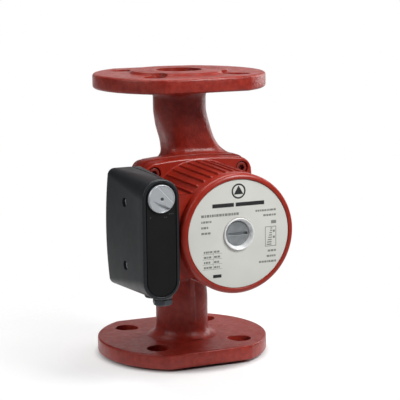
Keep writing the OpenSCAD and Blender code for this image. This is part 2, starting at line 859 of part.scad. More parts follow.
module gland_nut() {
  color("#6b7682") at_gland() difference() {
    union() {
      translate([0, 0, gland_low + 1.5])
        cylinder(r = gland_hex_r - 0.3, h = lug_low - 5.8 - gland_low, $fn = 6);
      translate([0, 0, gland_low]) cylinder(r1 = 6.2, r2 = 7.4, h = 2);
    }
    translate([0, 0, gland_low - over]) cylinder(r = cable_d / 2, h = 40);
    translate([0, 0, gland_low + 2.9]) cylinder(r = gland_r + slip_gap, h = 20);
  }
}

module blanking_plug() {
  color("#3b4148") at_motor() translate([gland_x, 0, plug_z]) rotate([-90, 0, 0]) {
    translate([0, 0, lug_low - 4]) cylinder(r = gland_hex_r - 0.3, h = 4, $fn = 6);
    translate([0, 0, gland_low + 1]) cylinder(r = 7, h = lug_low - gland_low - 2);
    translate([0, 0, lug_low - over]) cylinder(r = gland_r, h = lug_high - lug_low + over + 1);
  }
}

pump_housing();
neck_ring();
impeller();
impeller_nut();
shaft();
thrust_ring();
rotor_core();
rotor_end_rings();
bearing_plate();
rear_bush();
front_bush();
bush_holder();
rotor_can();
can_seal();
joint_gasket();
stator_core();
stator_windings();
stator_housing();
motor_screws();
name_plate();
vent_collar();
vent_screw();
vent_seal();
terminal_box_base();
base_screws();
base_gasket();
box_gasket();
terminal_box_cover();
cover_screws();
front_panel();
speed_switch();
switch_spindle();
speed_knob();
capacitor();
capacitor_clip();
terminal_block();
terminal_screws();
earth_screw();
lead_grommet();
gland_body();
gland_seal();
gland_nut();
blanking_plug();
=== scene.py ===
# %% [markdown]
# # A circulator pump, rebuilt piece by piece
# This is a wet-rotor heating pump: a red cast-iron housing with two flanged ports in line, a red
# aluminium motor across it, and a dark plastic terminal box with a speed knob on the motor's left.
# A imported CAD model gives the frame: every named piece is already in its place, in metres, +Z up
# the pipe, with the motor pointing along -Y. Each cell takes one real piece or finish, and either
# gives the CAD piece a better material or stands a finer surface in its place.

# %% The frame
import math
import bmesh
import bpy
import numpy as np
from mathutils import Matrix, Vector
from mathutils.geometry import tessellate_polygon


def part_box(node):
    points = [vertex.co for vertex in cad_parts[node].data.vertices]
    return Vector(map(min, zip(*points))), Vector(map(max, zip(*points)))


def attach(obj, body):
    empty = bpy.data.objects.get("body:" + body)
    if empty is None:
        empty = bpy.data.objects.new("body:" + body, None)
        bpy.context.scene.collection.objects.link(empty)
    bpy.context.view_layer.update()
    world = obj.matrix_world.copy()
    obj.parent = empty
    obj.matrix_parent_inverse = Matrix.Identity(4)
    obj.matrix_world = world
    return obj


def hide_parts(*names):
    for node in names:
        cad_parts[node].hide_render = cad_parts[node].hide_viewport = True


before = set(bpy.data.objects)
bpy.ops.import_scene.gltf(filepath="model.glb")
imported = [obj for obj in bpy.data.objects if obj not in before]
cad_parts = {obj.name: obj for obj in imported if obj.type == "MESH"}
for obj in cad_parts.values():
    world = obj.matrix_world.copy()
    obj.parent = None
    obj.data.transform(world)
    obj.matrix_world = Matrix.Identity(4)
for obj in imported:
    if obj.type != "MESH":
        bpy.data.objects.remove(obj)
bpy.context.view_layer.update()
MM = 0.001

# %% [markdown]
# ## The camera and the studio
# The pump is seen a little from above and from its left, with a long lens, so its upright lines
# stay almost parallel. The room is a white studio: a wide soft light overhead, a weaker one on each
# side, and darkness behind the camera, which is what draws the dark middle and the bright sides on
# the round necks. A pale floor, faded out at its rim, takes the contact shadow.

# %% Camera
AZIMUTH = math.radians(-23.619)
ELEVATION = math.radians(9.792)
ROLL = math.radians(-0.552)
DISTANCE = 1.30798
TARGET = Vector((0.018787, 0.0, 0.133701))
LENS = 133.12

back = Vector((math.sin(AZIMUTH) * math.cos(ELEVATION),
               -math.cos(AZIMUTH) * math.cos(ELEVATION), math.sin(ELEVATION)))
level = (-back).cross(Vector((0, 0, 1))).normalized()
upright = level.cross(-back)
right = level * math.cos(ROLL) + upright * math.sin(ROLL)
up = upright * math.cos(ROLL) - level * math.sin(ROLL)
camera = bpy.data.objects.new("camera", bpy.data.cameras.new("camera"))
bpy.context.scene.collection.objects.link(camera)
camera.data.lens = LENS
camera.data.sensor_width = 36
camera.matrix_world = Matrix((right, up, back)).transposed().to_4x4()
camera.matrix_world.translation = TARGET + back * DISTANCE
bpy.context.scene.camera = camera
bpy.context.scene.view_settings.view_transform = "Standard"
print("camera at", [round(v, 3) for v in camera.matrix_world.translation])


# %% [markdown]
# ## Finishes
# Each material is a small network of nodes. One function adds a node with its settings and wires
# its inputs, and one turns the hex colours that a paint chart gives into the linear values that a
# shader needs. Patterns read Object coordinates, which are metres on every piece here, so a scale
# is simply one over the size of the real feature.

# %% Material helpers
def linear(hex_colour):
    """sRGB hex to linear light: each channel c is c/12.92 below 0.04045, else ((c+0.055)/1.055)^2.4."""
    c = np.array([int(hex_colour[i:i + 2], 16) for i in (1, 3, 5)]) / 255
    return (*np.where(c <= 0.04045, c / 12.92, ((c + 0.055) / 1.055) ** 2.4).tolist(), 1.0)


def add(tree, kind, inputs=(), **settings):
    """Adds a node of one kind with its settings; an input is a value, or another node's socket."""
    node = tree.nodes.new(kind)
    for name, value in settings.items():
        setattr(node, name, value)
    for name, value in dict(inputs).items():
        if isinstance(value, bpy.types.NodeSocket):
            tree.links.new(value, node.inputs[name])
        else:
            node.inputs[name].default_value = value
    return node


def new_material(name):
    """An empty node tree, its Object coordinates and its output node."""
    material = bpy.data.materials.new(name)
    material.use_nodes = True
    tree = material.node_tree
    tree.nodes.clear()
    place = add(tree, "ShaderNodeTexCoord").outputs["Object"]
    return material, tree, place, add(tree, "ShaderNodeOutputMaterial")


def mottled(tree, place, dark, light, patch):
    """Colour that drifts between two shades in soft patches of a size in mm."""
    noise = add(tree, "ShaderNodeTexNoise", {"Vector": place, "Scale": 1 / (patch * MM), "Detail": 3})
    ramp = add(tree, "ShaderNodeValToRGB", {"Fac": noise.outputs["Fac"]})
    ramp.color_ramp.elements[0].position = 0.35
    ramp.color_ramp.elements[1].position = 0.65
    ramp.color_ramp.elements[0].color = linear(dark)
    ramp.color_ramp.elements[1].color = linear(light)
    return ramp.outputs["Color"]


def rough_between(tree, place, low, high, patch):
    """Roughness that drifts between two values in soft patches of a size in mm."""
    noise = add(tree, "ShaderNodeTexNoise", {"Vector": place, "Scale": 1 / (patch * MM), "Detail": 4})
    return add(tree, "ShaderNodeMapRange", {"Value": noise.outputs["Fac"], "From Min": 0.3,
                                            "From Max": 0.7, "To Min": low, "To Max": high}).outputs[0]


def grain(tree, place, size, height, under=None, detail=3.0):
    """Bump of rounded lumps of a size and a height in mm, on top of another bump if one is given."""
    noise = add(tree, "ShaderNodeTexNoise", {"Vector": place, "Scale": 1 / (size * MM), "Detail": detail})
    inputs = {"Height": noise.outputs["Fac"], "Distance": height * MM, "Strength": 1.0}
    if under is not None:
        inputs["Normal"] = under
    return add(tree, "ShaderNodeBump", inputs).outputs["Normal"]


def finish_with(tree, output, **inputs):
    """Principled surface with these inputs, given as plain words, wired to the output."""
    named = {key.replace("_", " "): value for key, value in inputs.items()}
    shader = add(tree, "ShaderNodeBsdfPrincipled", named)
    tree.links.new(shader.outputs["BSDF"], output.inputs["Surface"])
    return shader


# %% [markdown]
# ### Red enamel on cast iron
# The housing is sand-cast grey iron, dip-coated in a red primer-enamel. The sand leaves a grain of
# a bit under a millimetre and slow waves of a centimetre; the coat rounds both off and shines
# softly. The motor is die-cast aluminium in the same red, so its grain is finer and flatter.

# %% Red enamels
def red_enamel(name, dark, light, sand, sand_height, wave_height, low, high):
    """Painted casting: slow waves under the grain of the mould, a mottled red and a soft gloss."""
    material, tree, place, output = new_material(name)
    colour = mottled(tree, place, dark, light, 5)
    waves = grain(tree, place, 14, wave_height, detail=1.0)
    normal = grain(tree, place, sand, sand_height, under=waves)
    finish_with(tree, output, Base_Color=colour, Roughness=rough_between(tree, place, low, high, 6),
                IOR=1.47, Normal=normal)
    return material


iron_red = red_enamel("red_enamel_on_sand_cast_iron", "#832015", "#992d20", 1.5, 0.34, 0.20, 0.28, 0.42)
motor_red = red_enamel("red_enamel_on_die_cast_aluminium", "#92200f", "#9c2717", 0.8, 0.035, 0.12, 0.30, 0.38)
screw_red = red_enamel("red_enamel_over_steel_screw", "#762015", "#80271a", 0.5, 0.02, 0.05, 0.4, 0.5)


# %% [markdown]
# ### Moulded plastics
# The terminal box is moulded from a black polyamide whose tool was spark-eroded: a fine, even
# texture that turns gloss into satin. Glands and the knob are moulded the same way, and the knob
# has a silver paint over it, flakes and all.

# %% Plastics
def moulded(name, dark, light, low, high, texture=0.5, height=0.012, patch=20.0, sheen=0.5):
    """Moulded thermoplastic: almost one colour, a spark-eroded texture and a satin reflection, whose
    level is 0.5 for a closed skin and less for a matt print."""
    material, tree, place, output = new_material(name)
    colour = mottled(tree, place, dark, light, patch)
    finish_with(tree, output, Base_Color=colour, Roughness=rough_between(tree, place, low, high, 9),
                IOR=1.53, Normal=grain(tree, place, texture, height), Specular_IOR_Level=sheen)
    return material


box_black = moulded("black_polyamide_satin_moulded", "#111519", "#151a1f", 0.38, 0.45)
base_grey = moulded("dark_grey_polyamide_moulded", "#26292c", "#2c3033", 0.42, 0.52)
panel_black = moulded("black_film_matt_printed", "#0e0e0e", "#121212", 0.55, 0.62, 0.3, 0.004, sheen=0.22)
switch_black = moulded("black_phenolic_moulded", "#2b2d2f", "#333638", 0.45, 0.55)
gland_grey = moulded("grey_nylon_gland_moulded", "#3b4046", "#444a50", 0.40, 0.50)
plug_grey = moulded("dark_nylon_plug_moulded", "#22252a", "#292d32", 0.38, 0.48)
nylon_white = moulded("natural_nylon_moulded", "#cfccbf", "#dad7cb", 0.45, 0.55)
can_white = moulded("white_polypropylene_moulded", "#c9cacb", "#d6d7d8", 0.40, 0.50)
block_ivory = moulded("ivory_polyamide_moulded", "#cfc9b4", "#dbd6c3", 0.45, 0.55)
vane_grey = moulded("glass_filled_composite_moulded", "#4d4a44", "#5b5851", 0.48, 0.60, 0.9, 0.03, 6.0)
rubber = moulded("black_epdm_rubber_moulded", "#121213", "#18181a", 0.70, 0.85, 0.7, 0.02, 8.0)
mark_grey = moulded("pale_grey_printing_ink", "#3c3e3f", "#464849", 0.5, 0.6, 0.3, 0.002)
dot_grey = moulded("dark_grey_paint_dot", "#2f3236", "#35383c", 0.5, 0.6, 0.3, 0.002)
print_black = moulded("black_printing_ink", "#17181a", "#1f2022", 0.5, 0.6, 0.3, 0.002)
print_grey = moulded("grey_printing_ink", "#7b7c78", "#878884", 0.5, 0.6, 0.3, 0.002)
label_white = moulded("warm_white_polyester_label", "#d6d7d0", "#dcddd6", 0.34, 0.42, 0.6, 0.003, 30.0)


# %% [markdown]
# ### Metals, carbon and ceramic
# A turned part keeps fine rings from the tool, a ground one finer scratches, and a cast one its
# skin. One network serves them all: the marks are the same noise, drawn out along one axis where the
# tool ran. Plated brass is duller than bare metal, so its metallic share is a little lower.

# %% Metals and the rest
def metal(name, dark, light, low, high, texture=0.4, height=0.01, stretch=(1, 1, 1), bare=1.0):
    """Bare metal: mottled reflectance and fine marks, drawn out along one axis when it was turned."""
    material, tree, place, output = new_material(name)
    drawn = add(tree, "ShaderNodeMapping", {"Vector": place, "Scale": stretch}).outputs["Vector"]
    finish_with(tree, output, Base_Color=mottled(tree, place, dark, light, 5), Metallic=bare,
                Roughness=rough_between(tree, drawn, low, high, 2.5),
                Normal=grain(tree, drawn, texture, height))
    return material


collar_bright = metal("nickel_plated_brass_turned", "#f2f3f3", "#fafbfb", 0.46, 0.56,
                      stretch=(1, 6, 1), bare=0.45)
screw_dull = metal("nickel_plated_brass_dull", "#a6aaad", "#b3b7ba", 0.48, 0.58, 0.5, 0.015)
stainless = metal("stainless_steel_pressed", "#a5a8aa", "#b4b7b9", 0.22, 0.34)
ground = metal("steel_ground", "#b0b2b3", "#bfc1c2", 0.14, 0.22, 0.25, 0.004, stretch=(1, 8, 1))
cast_alloy = metal("aluminium_cast_bare", "#9b9c9b", "#adaeac", 0.42, 0.55, 0.9, 0.05)
lamination = metal("electrical_steel_stacked", "#595c5f", "#6a6e71", 0.40, 0.55, 0.5, 0.03, stretch=(1, 4, 1))
zinc = metal("steel_zinc_plated", "#b9bcbf", "#cccfd2", 0.40, 0.52, 0.4, 0.008, bare=0.7)
brass = metal("brass_turned", "#b08d45", "#c4a259", 0.22, 0.34)
copper = metal("copper_wire_enamelled", "#8c4322", "#a3552c", 0.22, 0.34, 0.8, 0.12, stretch=(1, 3, 1))
carbon = moulded("carbon_pressed_and_lapped", "#232426", "#303134", 0.35, 0.5, 0.4, 0.01, 3.0)
ceramic = moulded("alumina_ceramic_sintered", "#d6d3c8", "#e0ded4", 0.25, 0.35, 0.4, 0.004, 6.0)


# %% [markdown]
# ### Silver paint
# The knob is grey plastic under a lacquer full of aluminium flakes. Each flake catches the light
# by itself, so the shade steps from one Voronoi cell to the next.

# %% Silver paint
def silver_paint():
    """Silver paint on plastic: aluminium flakes half a millimetre apart in a satin lacquer."""
    material, tree, place, output = new_material("silver_lacquer_on_plastic")
    flakes = add(tree, "ShaderNodeTexVoronoi", {"Vector": place, "Scale": 1 / (0.5 * MM)})
    colour = add(tree, "ShaderNodeMapRange", {"Value": flakes.outputs["Distance"], "From Max": 0.8})
    ramp = add(tree, "ShaderNodeValToRGB", {"Fac": colour.outputs[0]})
    ramp.color_ramp.elements[0].color = linear("#b6babe")
    ramp.color_ramp.elements[1].color = linear("#c2c6ca")
    finish_with(tree, output, Base_Color=ramp.outputs["Color"], Metallic=0.35,
                Roughness=rough_between(tree, place, 0.34, 0.42, 4),
                Normal=grain(tree, place, 0.4, 0.004), IOR=1.5)
    return material


knob_silver = silver_paint()

SLOT_FINISH = {
    "red_enamel_on_cast_iron": iron_red, "red_enamel_on_aluminium": motor_red,
    "painted_screws": screw_red, "stainless_steel": stainless, "ground_steel": ground,
    "composite_impeller": vane_grey, "carbon": carbon, "cast_aluminium": cast_alloy,
    "alumina_ceramic": ceramic, "black_rubber": rubber, "lamination_steel": lamination,
    "enamelled_copper": copper, "printed_plate": label_white, "bright_collar": collar_bright,
    "vent_screw_metal": screw_dull, "grey_box_plastic": base_grey, "black_box_plastic": box_black,
    "panel_film": panel_black, "dark_switch_plastic": switch_black, "natural_nylon": nylon_white,
    "silver_knob_plastic": knob_silver, "white_capacitor_plastic": can_white,
    "ivory_terminal_plastic": block_ivory, "brass": brass, "zinc_plated_steel": zinc,
    "grey_gland_plastic": gland_grey, "dark_gland_plastic": plug_grey,
}
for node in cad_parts.values():
    for place in node.material_slots:
        place.material = SLOT_FINISH[place.material.name.split(".")[0]]
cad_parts["joint_gasket"].material_slots[0].material = iron_red  # dipped with the housing
print(len(bpy.data.materials), "materials;", len(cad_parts), "CAD pieces finished")

# %% [markdown]
# ## Sizes from the frame
# Nothing is measured twice: each size comes from the box of a CAD piece. On the motor it helps to
# think as its maker does, in motor coordinates: x to the right, y up from the shaft, and m forward
# from the pipe's axis.

# %% Sizes
def box_mm(node):
    """Lowest and highest corner of a CAD piece, in mm."""
    return [np.array(corner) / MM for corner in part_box(node)]


def motor_box(node):
    """The same box in motor coordinates (x, y, m)."""
    low, high = box_mm(node)
    return (np.array([low[0], low[2] - axis_z, -high[1]]), np.array([high[0], high[2] - axis_z, -low[1]]))


def motor(points):
    """Motor coordinates to the pump's: x stays, y goes up from the shaft, m goes along -Y."""
    points = np.asarray(points, float)
    return np.stack([points[..., 0], -points[..., 2], points[..., 1] + axis_z], -1)


port_high = box_mm("pump_housing")[1]
height = port_high[2]
flange_r = port_high[0]
flange_half = port_high[1]
shaft_low, shaft_high = box_mm("shaft")
axis_z = (shaft_low[2] + shaft_high[2]) / 2
joint_front = motor_box("joint_gasket")[0][2]
stator_low, stator_high = motor_box("stator_housing")
motor_back, motor_front = stator_low[2], stator_high[2]
motor_w = stator_high[1] - stator_low[1]
cover_low, cover_high = motor_box("terminal_box_cover")
base_high = motor_box("terminal_box_base")[1]
plate_low, plate_high = motor_box("name_plate")
print("height", height, "shaft axis at", axis_z, "motor front", motor_front, "flange", motor_w)


# %% [markdown]
# ## Shapes from arrays
# Every new piece is a grid of points worked out at once. A lathe carries a profile round an axis, a
# plate carries one round an outline and its holes, and a loft joins sections. A profile is drawn as
# a few corners, and each corner is then rounded to the radius that the mould or the tool left.

# %% Outlines and profiles
def rounded(corners, radii, steps=5):
    """Each corner of an open line is replaced by an arc of its radius that touches both its edges."""
    corners = np.asarray(corners, float)
    line = [corners[:1]]
    for before, here, after, radius in zip(corners, corners[1:], corners[2:], radii):
        a = (before - here) / np.linalg.norm(before - here)
        b = (after - here) / np.linalg.norm(after - here)
        half = math.acos(np.clip(a @ b, -1, 1)) / 2
        middle = here + (a + b) / np.linalg.norm(a + b) * radius / math.sin(half)
        first = here + a * radius / math.tan(half) - middle
        last = here + b * radius / math.tan(half) - middle
        t = np.linspace(0, 1, steps + 1)[:, None]
        sweep = math.pi - 2 * half
        line.append(middle + (np.sin((1 - t) * sweep) * first + np.sin(t * sweep) * last) / math.sin(sweep))
    return np.vstack([*line, corners[-1:]])


def rounded_loop(corners, radii, steps=5):
    """The same for a closed outline, which starts in the middle of its last edge."""
    corners = np.asarray(corners, float)
    start = (corners[-1:] + corners[:1]) / 2
    radii = np.broadcast_to(radii, len(corners))
    return rounded(np.vstack([start, corners, start]), radii, steps)[:-1]


def arc(radius, start, end, steps, centre=(0, 0)):
    """Points at equal angles, in degrees, along an arc."""
    t = np.radians(np.linspace(start, end, steps))
    return np.stack([centre[0] + radius * np.cos(t), centre[1] + radius * np.sin(t)], -1)


def circle(radius, centre=(0, 0), steps=64):
    """A closed circle, anticlockwise, without its last point twice."""
    return arc(radius, 0, 360, steps + 1, centre)[:-1]


SIDE_CROWN = 2.0


def crowned_square(width, radius):
    """A square whose sides bulge by a crown along a parabola, with arcs at the corners."""
    reach = width / 2 - SIDE_CROWN - radius
    t = np.linspace(-1, 1, 13)
    side = np.vstack([np.stack([width / 2 - SIDE_CROWN * t ** 2, reach * t], -1),
                      arc(radius, 0, 90, 9, (reach, reach))[1:-1]])
    turns = [side, np.stack([-side[:, 1], side[:, 0]], -1), -side, np.stack([side[:, 1], -side[:, 0]], -1)]
    return np.vstack(turns)


def egg(big, small, distance, far):
    """Two circles on a ray, the big one at far, joined by the lines that touch both."""
    lean = math.degrees(math.acos((small - big) / distance))
    return np.vstack([arc(big, -lean, lean, 40, (far, 0)),
                      arc(small, lean, 360 - lean, 24, (far - distance, 0))])


def turned(points, degrees):
    """An outline turned about the origin."""
    c, s = math.cos(math.radians(degrees)), math.sin(math.radians(degrees))
    return points @ np.array([[c, s], [-s, c]])


# %% Surfaces
def grid_faces(rows, columns, offset=0, close_rows=False):
    """Quads between neighbours on a grid of points whose columns close on themselves."""
    last = rows if close_rows else rows - 1
    i, j = np.meshgrid(np.arange(last), np.arange(columns), indexing="ij")
    i2, j2 = (i + 1) % rows, (j + 1) % columns
    quads = np.stack([i * columns + j, i * columns + j2, i2 * columns + j2, i2 * columns + j], -1)
    return quads.reshape(-1, 4) + offset


def lathe(profile, steps=128, close=True):
    """A profile of (radius, height) pairs carried round the third axis: (r cos t, r sin t, h)."""
    t = np.linspace(0, 2 * np.pi, steps, endpoint=False)
    radius, level_ = np.asarray(profile, float).T
    points = np.stack([radius[:, None] * np.cos(t), radius[:, None] * np.sin(t),
                       np.broadcast_to(level_[:, None], (len(radius), steps))], -1)
    return points.reshape(-1, 3), grid_faces(len(radius), steps, close_rows=close)


def outward(loop):
    """Unit normals of a closed outline: its tangent turned clockwise, away from the material."""
    along = np.roll(loop, -1, 0) - np.roll(loop, 1, 0)
    along /= np.linalg.norm(along, axis=1, keepdims=True)
    return np.stack([along[:, 1], -along[:, 0]], -1)


def plate(outline, holes=(), low=0.0, high=1.0, edge=0.5, hole_edge=0.3, steps=4, low_edge=None):
    """A flat plate: every loop climbs a quarter round, a straight wall and a quarter round, and the
    faces between the loops are filled. Holes run clockwise, so their normals also leave the metal."""
    low_edge = edge if low_edge is None else low_edge
    points, quads, caps, count = [], [], [[], []], 0
    for index, loop in enumerate([outline, *[hole[::-1] for hole in holes]]):
        q, r = (low_edge, edge) if index == 0 else (hole_edge, hole_edge)
        t = np.linspace(0, np.pi / 2, steps + 1)
        inset = np.concatenate([[q + 0.15], q * (1 - np.sin(t)), r * (1 - np.cos(t)), [r + 0.15]])
        level_ = np.concatenate([[low], low + q * (1 - np.cos(t)), high - r + r * np.sin(t), [high]])
        flat = loop[None] - outward(loop)[None] * inset[:, None, None]
        ring = np.concatenate([flat, np.broadcast_to(level_[:, None, None], (*flat.shape[:2], 1))], -1)
        points.append(ring.reshape(-1, 3))
        quads.append(grid_faces(len(inset), len(loop), count))
        caps[0].append((ring[0], count))
        caps[1].append((ring[-1], count + (len(inset) - 1) * len(loop)))
        count += ring.shape[0] * ring.shape[1]
    faces = [face.tolist() for face in np.vstack(quads)]
    for side, loops in enumerate(caps):
        number = np.concatenate([np.arange(len(ring)) + first for ring, first in loops])
        for a, b, c in tessellate_polygon([[Vector(p) for p in ring] for ring, first in loops]):
            pa, pb, pc = (np.vstack([ring for ring, first in loops])[k] for k in (a, b, c))
            up_facing = np.cross(pb - pa, pc - pa)[2] > 0
            faces.append([int(number[k]) for k in ((a, b, c) if up_facing == (side == 1) else (a, c, b))])
    return np.vstack(points), faces


def joined(*parts):
    """Several (points, faces) as one."""
    points, faces, count = [], [], 0
    for part_points, part_faces in parts:
        points.append(part_points)
        faces += [[int(k) + count for k in face] for face in part_faces]
        count += len(part_points)
    return np.vstack(points), faces


def moved(part, offset):
    """A part moved by an offset in mm."""
    return part[0] + np.asarray(offset, float), part[1]


def turned_about_third(part, degrees):
    """A part turned about its third axis."""
    return np.column_stack([turned(part[0][:, :2], degrees), part[0][:, 2]]), part[1]


# %% Pieces
def new_object(name, points, faces, weld, thin=0.0):
    """An object at the origin: doubles closer than weld are joined, slivers below thin are dissolved,
    and the faces are turned outward."""
    mesh = bpy.data.meshes.new(name)
    mesh.from_pydata(np.asarray(points).tolist(), [], [list(face) for face in faces])
    made = bpy.data.objects.new(name, mesh)
    bpy.context.scene.collection.objects.link(made)
    work = bmesh.new()
    work.from_mesh(mesh)
    bmesh.ops.remove_doubles(work, verts=work.verts, dist=weld)
    if thin:
        bmesh.ops.dissolve_degenerate(work, edges=work.edges, dist=thin)
    bmesh.ops.recalc_face_normals(work, faces=work.faces)
    work.to_mesh(mesh)
    work.free()
    return made


def piece(name, part, material, body="housing", stands_for=(), sharp=35, place=motor):
    """Makes the mesh: places the points, welds doubles, shades it smooth up to an angle, ties the
    piece to its body and hides the CAD pieces that it stands for."""
    points, faces = part
    made = new_object(name, place(points) * MM, faces, 0.0005 * MM, 0.0005 * MM)
    mesh = made.data
    mesh.materials.append(material)
    mesh.shade_smooth()
    mesh.set_sharp_from_angle(angle=math.radians(sharp))
    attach(made, body)
    if stands_for:
        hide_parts(*stands_for)
    print(name, len(mesh.vertices), "points,", len(mesh.polygons), "faces")
    return made


def as_is(points):
    """For pieces drawn straight in the pump's own coordinates."""
    return np.asarray(points, float)


# %% [markdown]
# ## The pump housing
# One iron casting: two port flanges, the necks, the volute round the impeller, the passage behind
# it and the square joint flange. A pattern maker blends every junction with wax fillets. Modelling
# those by hand is slow, so the casting is a distance field: each part is a formula for the distance
# to its surface, and a rounded union adds a true circular fillet where two parts meet.

# %% Distance formulas
def fillet_union(a, b, radius):
    """Union with a fillet: inside the corner it is the radius less the distance to the arc's centre."""
    u, v = np.maximum(radius - a, 0), np.maximum(radius - b, 0)
    return np.maximum(radius, np.minimum(a, b)) - np.hypot(u, v)


def drum(rho, along, radius, start, end, edge):
    """A cylinder with rounded edges: distance in the plane of radius and height."""
    a = rho - radius + edge
    b = np.abs(along - (start + end) / 2) - (end - start) / 2 + edge
    return np.hypot(np.maximum(a, 0), np.maximum(b, 0)) + np.minimum(np.maximum(a, b), 0) - edge


BLEND = 14.0


def soft_steps(z, stations):
    """Values at stations joined by straight lines, whose corners are rounded over a blend in mm."""
    stations = np.asarray(stations, float)
    fine = np.arange(-20, height + 20, 0.5)
    window = np.hanning(int(BLEND / 0.5) + 2)
    half = len(window) // 2
    out = []
    for column in stations[:, 1:].T:
        line = np.interp(fine, stations[:, 0], column)
        line = np.pad(line, half, mode="edge")
        out.append(np.interp(z, fine, np.convolve(line, window / window.sum(), "same")[half:-half]))
    return out


def duct(x, y, z, stations, start, end, less=0.0):
    """A pipe whose section is a circle, drawn out sideways or backwards, that changes with height.
    Station columns: height, centre x, centre y, half length along x, half length along y, radius."""
    cx, cy, half_x, half_y, radius = soft_steps(z, stations)
    a = np.abs(x - cx) - half_x
    b = np.abs(y - cy) - half_y
    flat = np.hypot(np.maximum(a, 0), np.maximum(b, 0)) + np.minimum(np.maximum(a, b), 0) - radius + less
    return np.maximum(flat, np.maximum(start - z, z - end))


NECK_R = 23.0
NECK_WALL = 4.0
NECK_FILLET = 9.0
PORT_R = 20.0
FLANGE_TOP = 15.0
RAISED = 2.2
RAISED_R = 44.0
JOINT_T = 12.0
JOINT_W = 106.0
CORNER_R = 12.0
CHAMBER_R = 46.5
CHAMBER_BACK = -6.0
VOLUTE_R = 52.0
POCKET_R = 24.0
HOUSING_BACK = -37.0
SCREW_HALF = 40.5

discharge = [(axis_z + 36, 14.8, 0, 15.7, 5, 12), (axis_z + 48, 13.2, 0, 14.8, 6, 12.5),
             (axis_z + 62, 7, 0, 8, 7, 14), (axis_z + 74, 3, 0, 6, 6, 16),
             (axis_z + 88, 0, 0, 0, 0, NECK_R), (height, 0, 0, 0, 0, NECK_R)]
suction = [(0, 0, 0, 0, 0, NECK_R), (axis_z - 76, 0, 0, 0, 0, NECK_R),
           (axis_z - 62, 0, 4, 0, 4, 21.5), (axis_z - 50, 0, 9, 3, 8, 20),
           (axis_z - 34, 0, 12, 4, 3, 20), (axis_z, 0, 11, 4, 2, 20)]


def casting_outside(x, y, z):
    """Volute, pocket, joint flange and screw bosses first, then the two ducts and their flanges."""
    along = -y
    rho = np.hypot(x, z - axis_z)
    volute = drum(rho, along, VOLUTE_R, CHAMBER_BACK - 5, joint_front - 0.4, 8)
    pocket = drum(rho, along, POCKET_R + 5, HOUSING_BACK, joint_front - 10, 9)
    shell = fillet_union(volute, pocket, 10)
    back_of_joint = joint_front - JOINT_T - along
    shell = fillet_union(shell, back_of_joint, 4)
    for sx in (-1, 1):
        for sz in (-1, 1):
            boss = drum(np.hypot(x - sx * SCREW_HALF, z - axis_z - sz * SCREW_HALF), along, 8.5,
                        joint_front - JOINT_T - 8, joint_front - 2, 2.5)
            shell = fillet_union(shell, boss, 3)
    qx, qz = np.abs(x), np.abs(z - axis_z)
    reach = JOINT_W / 2 - SIDE_CROWN - CORNER_R
    a, b = qx - reach, qz - reach
    outline = np.hypot(np.maximum(a, 0), np.maximum(b, 0)) + np.minimum(np.maximum(a, b), 0) - CORNER_R + 0.5
    outline = outline - SIDE_CROWN * np.clip(1 - (np.minimum(qx, qz) / reach) ** 2, 0, 1)
    shell = np.maximum(np.maximum(shell, outline), along - joint_front + 0.4)
    up_duct = duct(x, y, z, discharge, axis_z + 30, height)
    down_duct = duct(x, y, z, suction, 0, axis_z)
    shell = fillet_union(shell, up_duct, 7)
    shell = fillet_union(shell, down_duct, 7)
    web = np.maximum(np.abs(x) - 2.0, np.maximum(-25.2 - y + np.clip((axis_z - 62 - z) * 0.07, 0, 9), y))
    web = np.maximum(web, np.maximum(30 - z, z - axis_z + 40))
    shell = fillet_union(shell, web, 2.5)
    radial = np.hypot(x, y)
    low_flange = np.maximum(z - FLANGE_TOP, radial - flange_r)
    high_flange = np.maximum(height - FLANGE_TOP - z, radial - flange_r)
    shell = fillet_union(fillet_union(shell, low_flange, NECK_FILLET), high_flange, NECK_FILLET)
    end = np.minimum(z, height - z)
    rim = radial - (NECK_R + NECK_FILLET - 0.3 + 30 * np.maximum(end - FLANGE_TOP - 0.05, 0))
    return np.maximum(np.maximum(shell, rim), FLANGE_TOP - 2 - end)


def casting_inside(x, y, z):
    """The port bores, the chamber, the eye, the pocket behind it and the two passages."""
    along = -y
    rho = np.hypot(x, z - axis_z)
    end = np.minimum(z, height - z)
    taper = [FLANGE_TOP + 6, FLANGE_TOP + 12]
    bore = np.hypot(x, y) - np.interp(end, taper, [PORT_R + 0.05, NECK_R - NECK_WALL])
    bore = np.maximum(bore, end - 38)
    up_duct = duct(x, y, z, discharge, axis_z + 36, height, NECK_WALL)
    down_duct = duct(x, y, z, suction, 0, axis_z, NECK_WALL)
    chamber = drum(rho, along, CHAMBER_R, CHAMBER_BACK, joint_front + 5, 0.5)
    eye = drum(rho, along, 18, CHAMBER_BACK - 8, CHAMBER_BACK + 2, 0.2)
    pocket = drum(rho, along, POCKET_R, HOUSING_BACK + 5, CHAMBER_BACK - 6, 3)
    hollow = np.minimum(np.minimum(bore, up_duct), np.minimum(down_duct, pocket))
    hollow = np.where(along > CHAMBER_BACK - 6, np.minimum(np.minimum(bore, up_duct),
                      np.where(z < axis_z - 56, down_duct, 9)), hollow)
    return np.minimum(hollow, np.minimum(chamber, eye))


def casting(x, y, z):
    """Iron is where the outside is and the hollow isn't."""
    return np.maximum(casting_outside(x, y, z), -casting_inside(x, y, z))


# %% [markdown]
# The field becomes a mesh in two moves. A cubic grid of samples is laid over it, and each cell that
# the surface crosses gets one point, at the mean of the crossings on its edges; quads join the
# cells round every crossed edge. Then each point slides along the field's slope until the field is
# zero there, so the points end up on the true surface and the shading is clean.

# %% Skin of a field
PROBE = 0.05


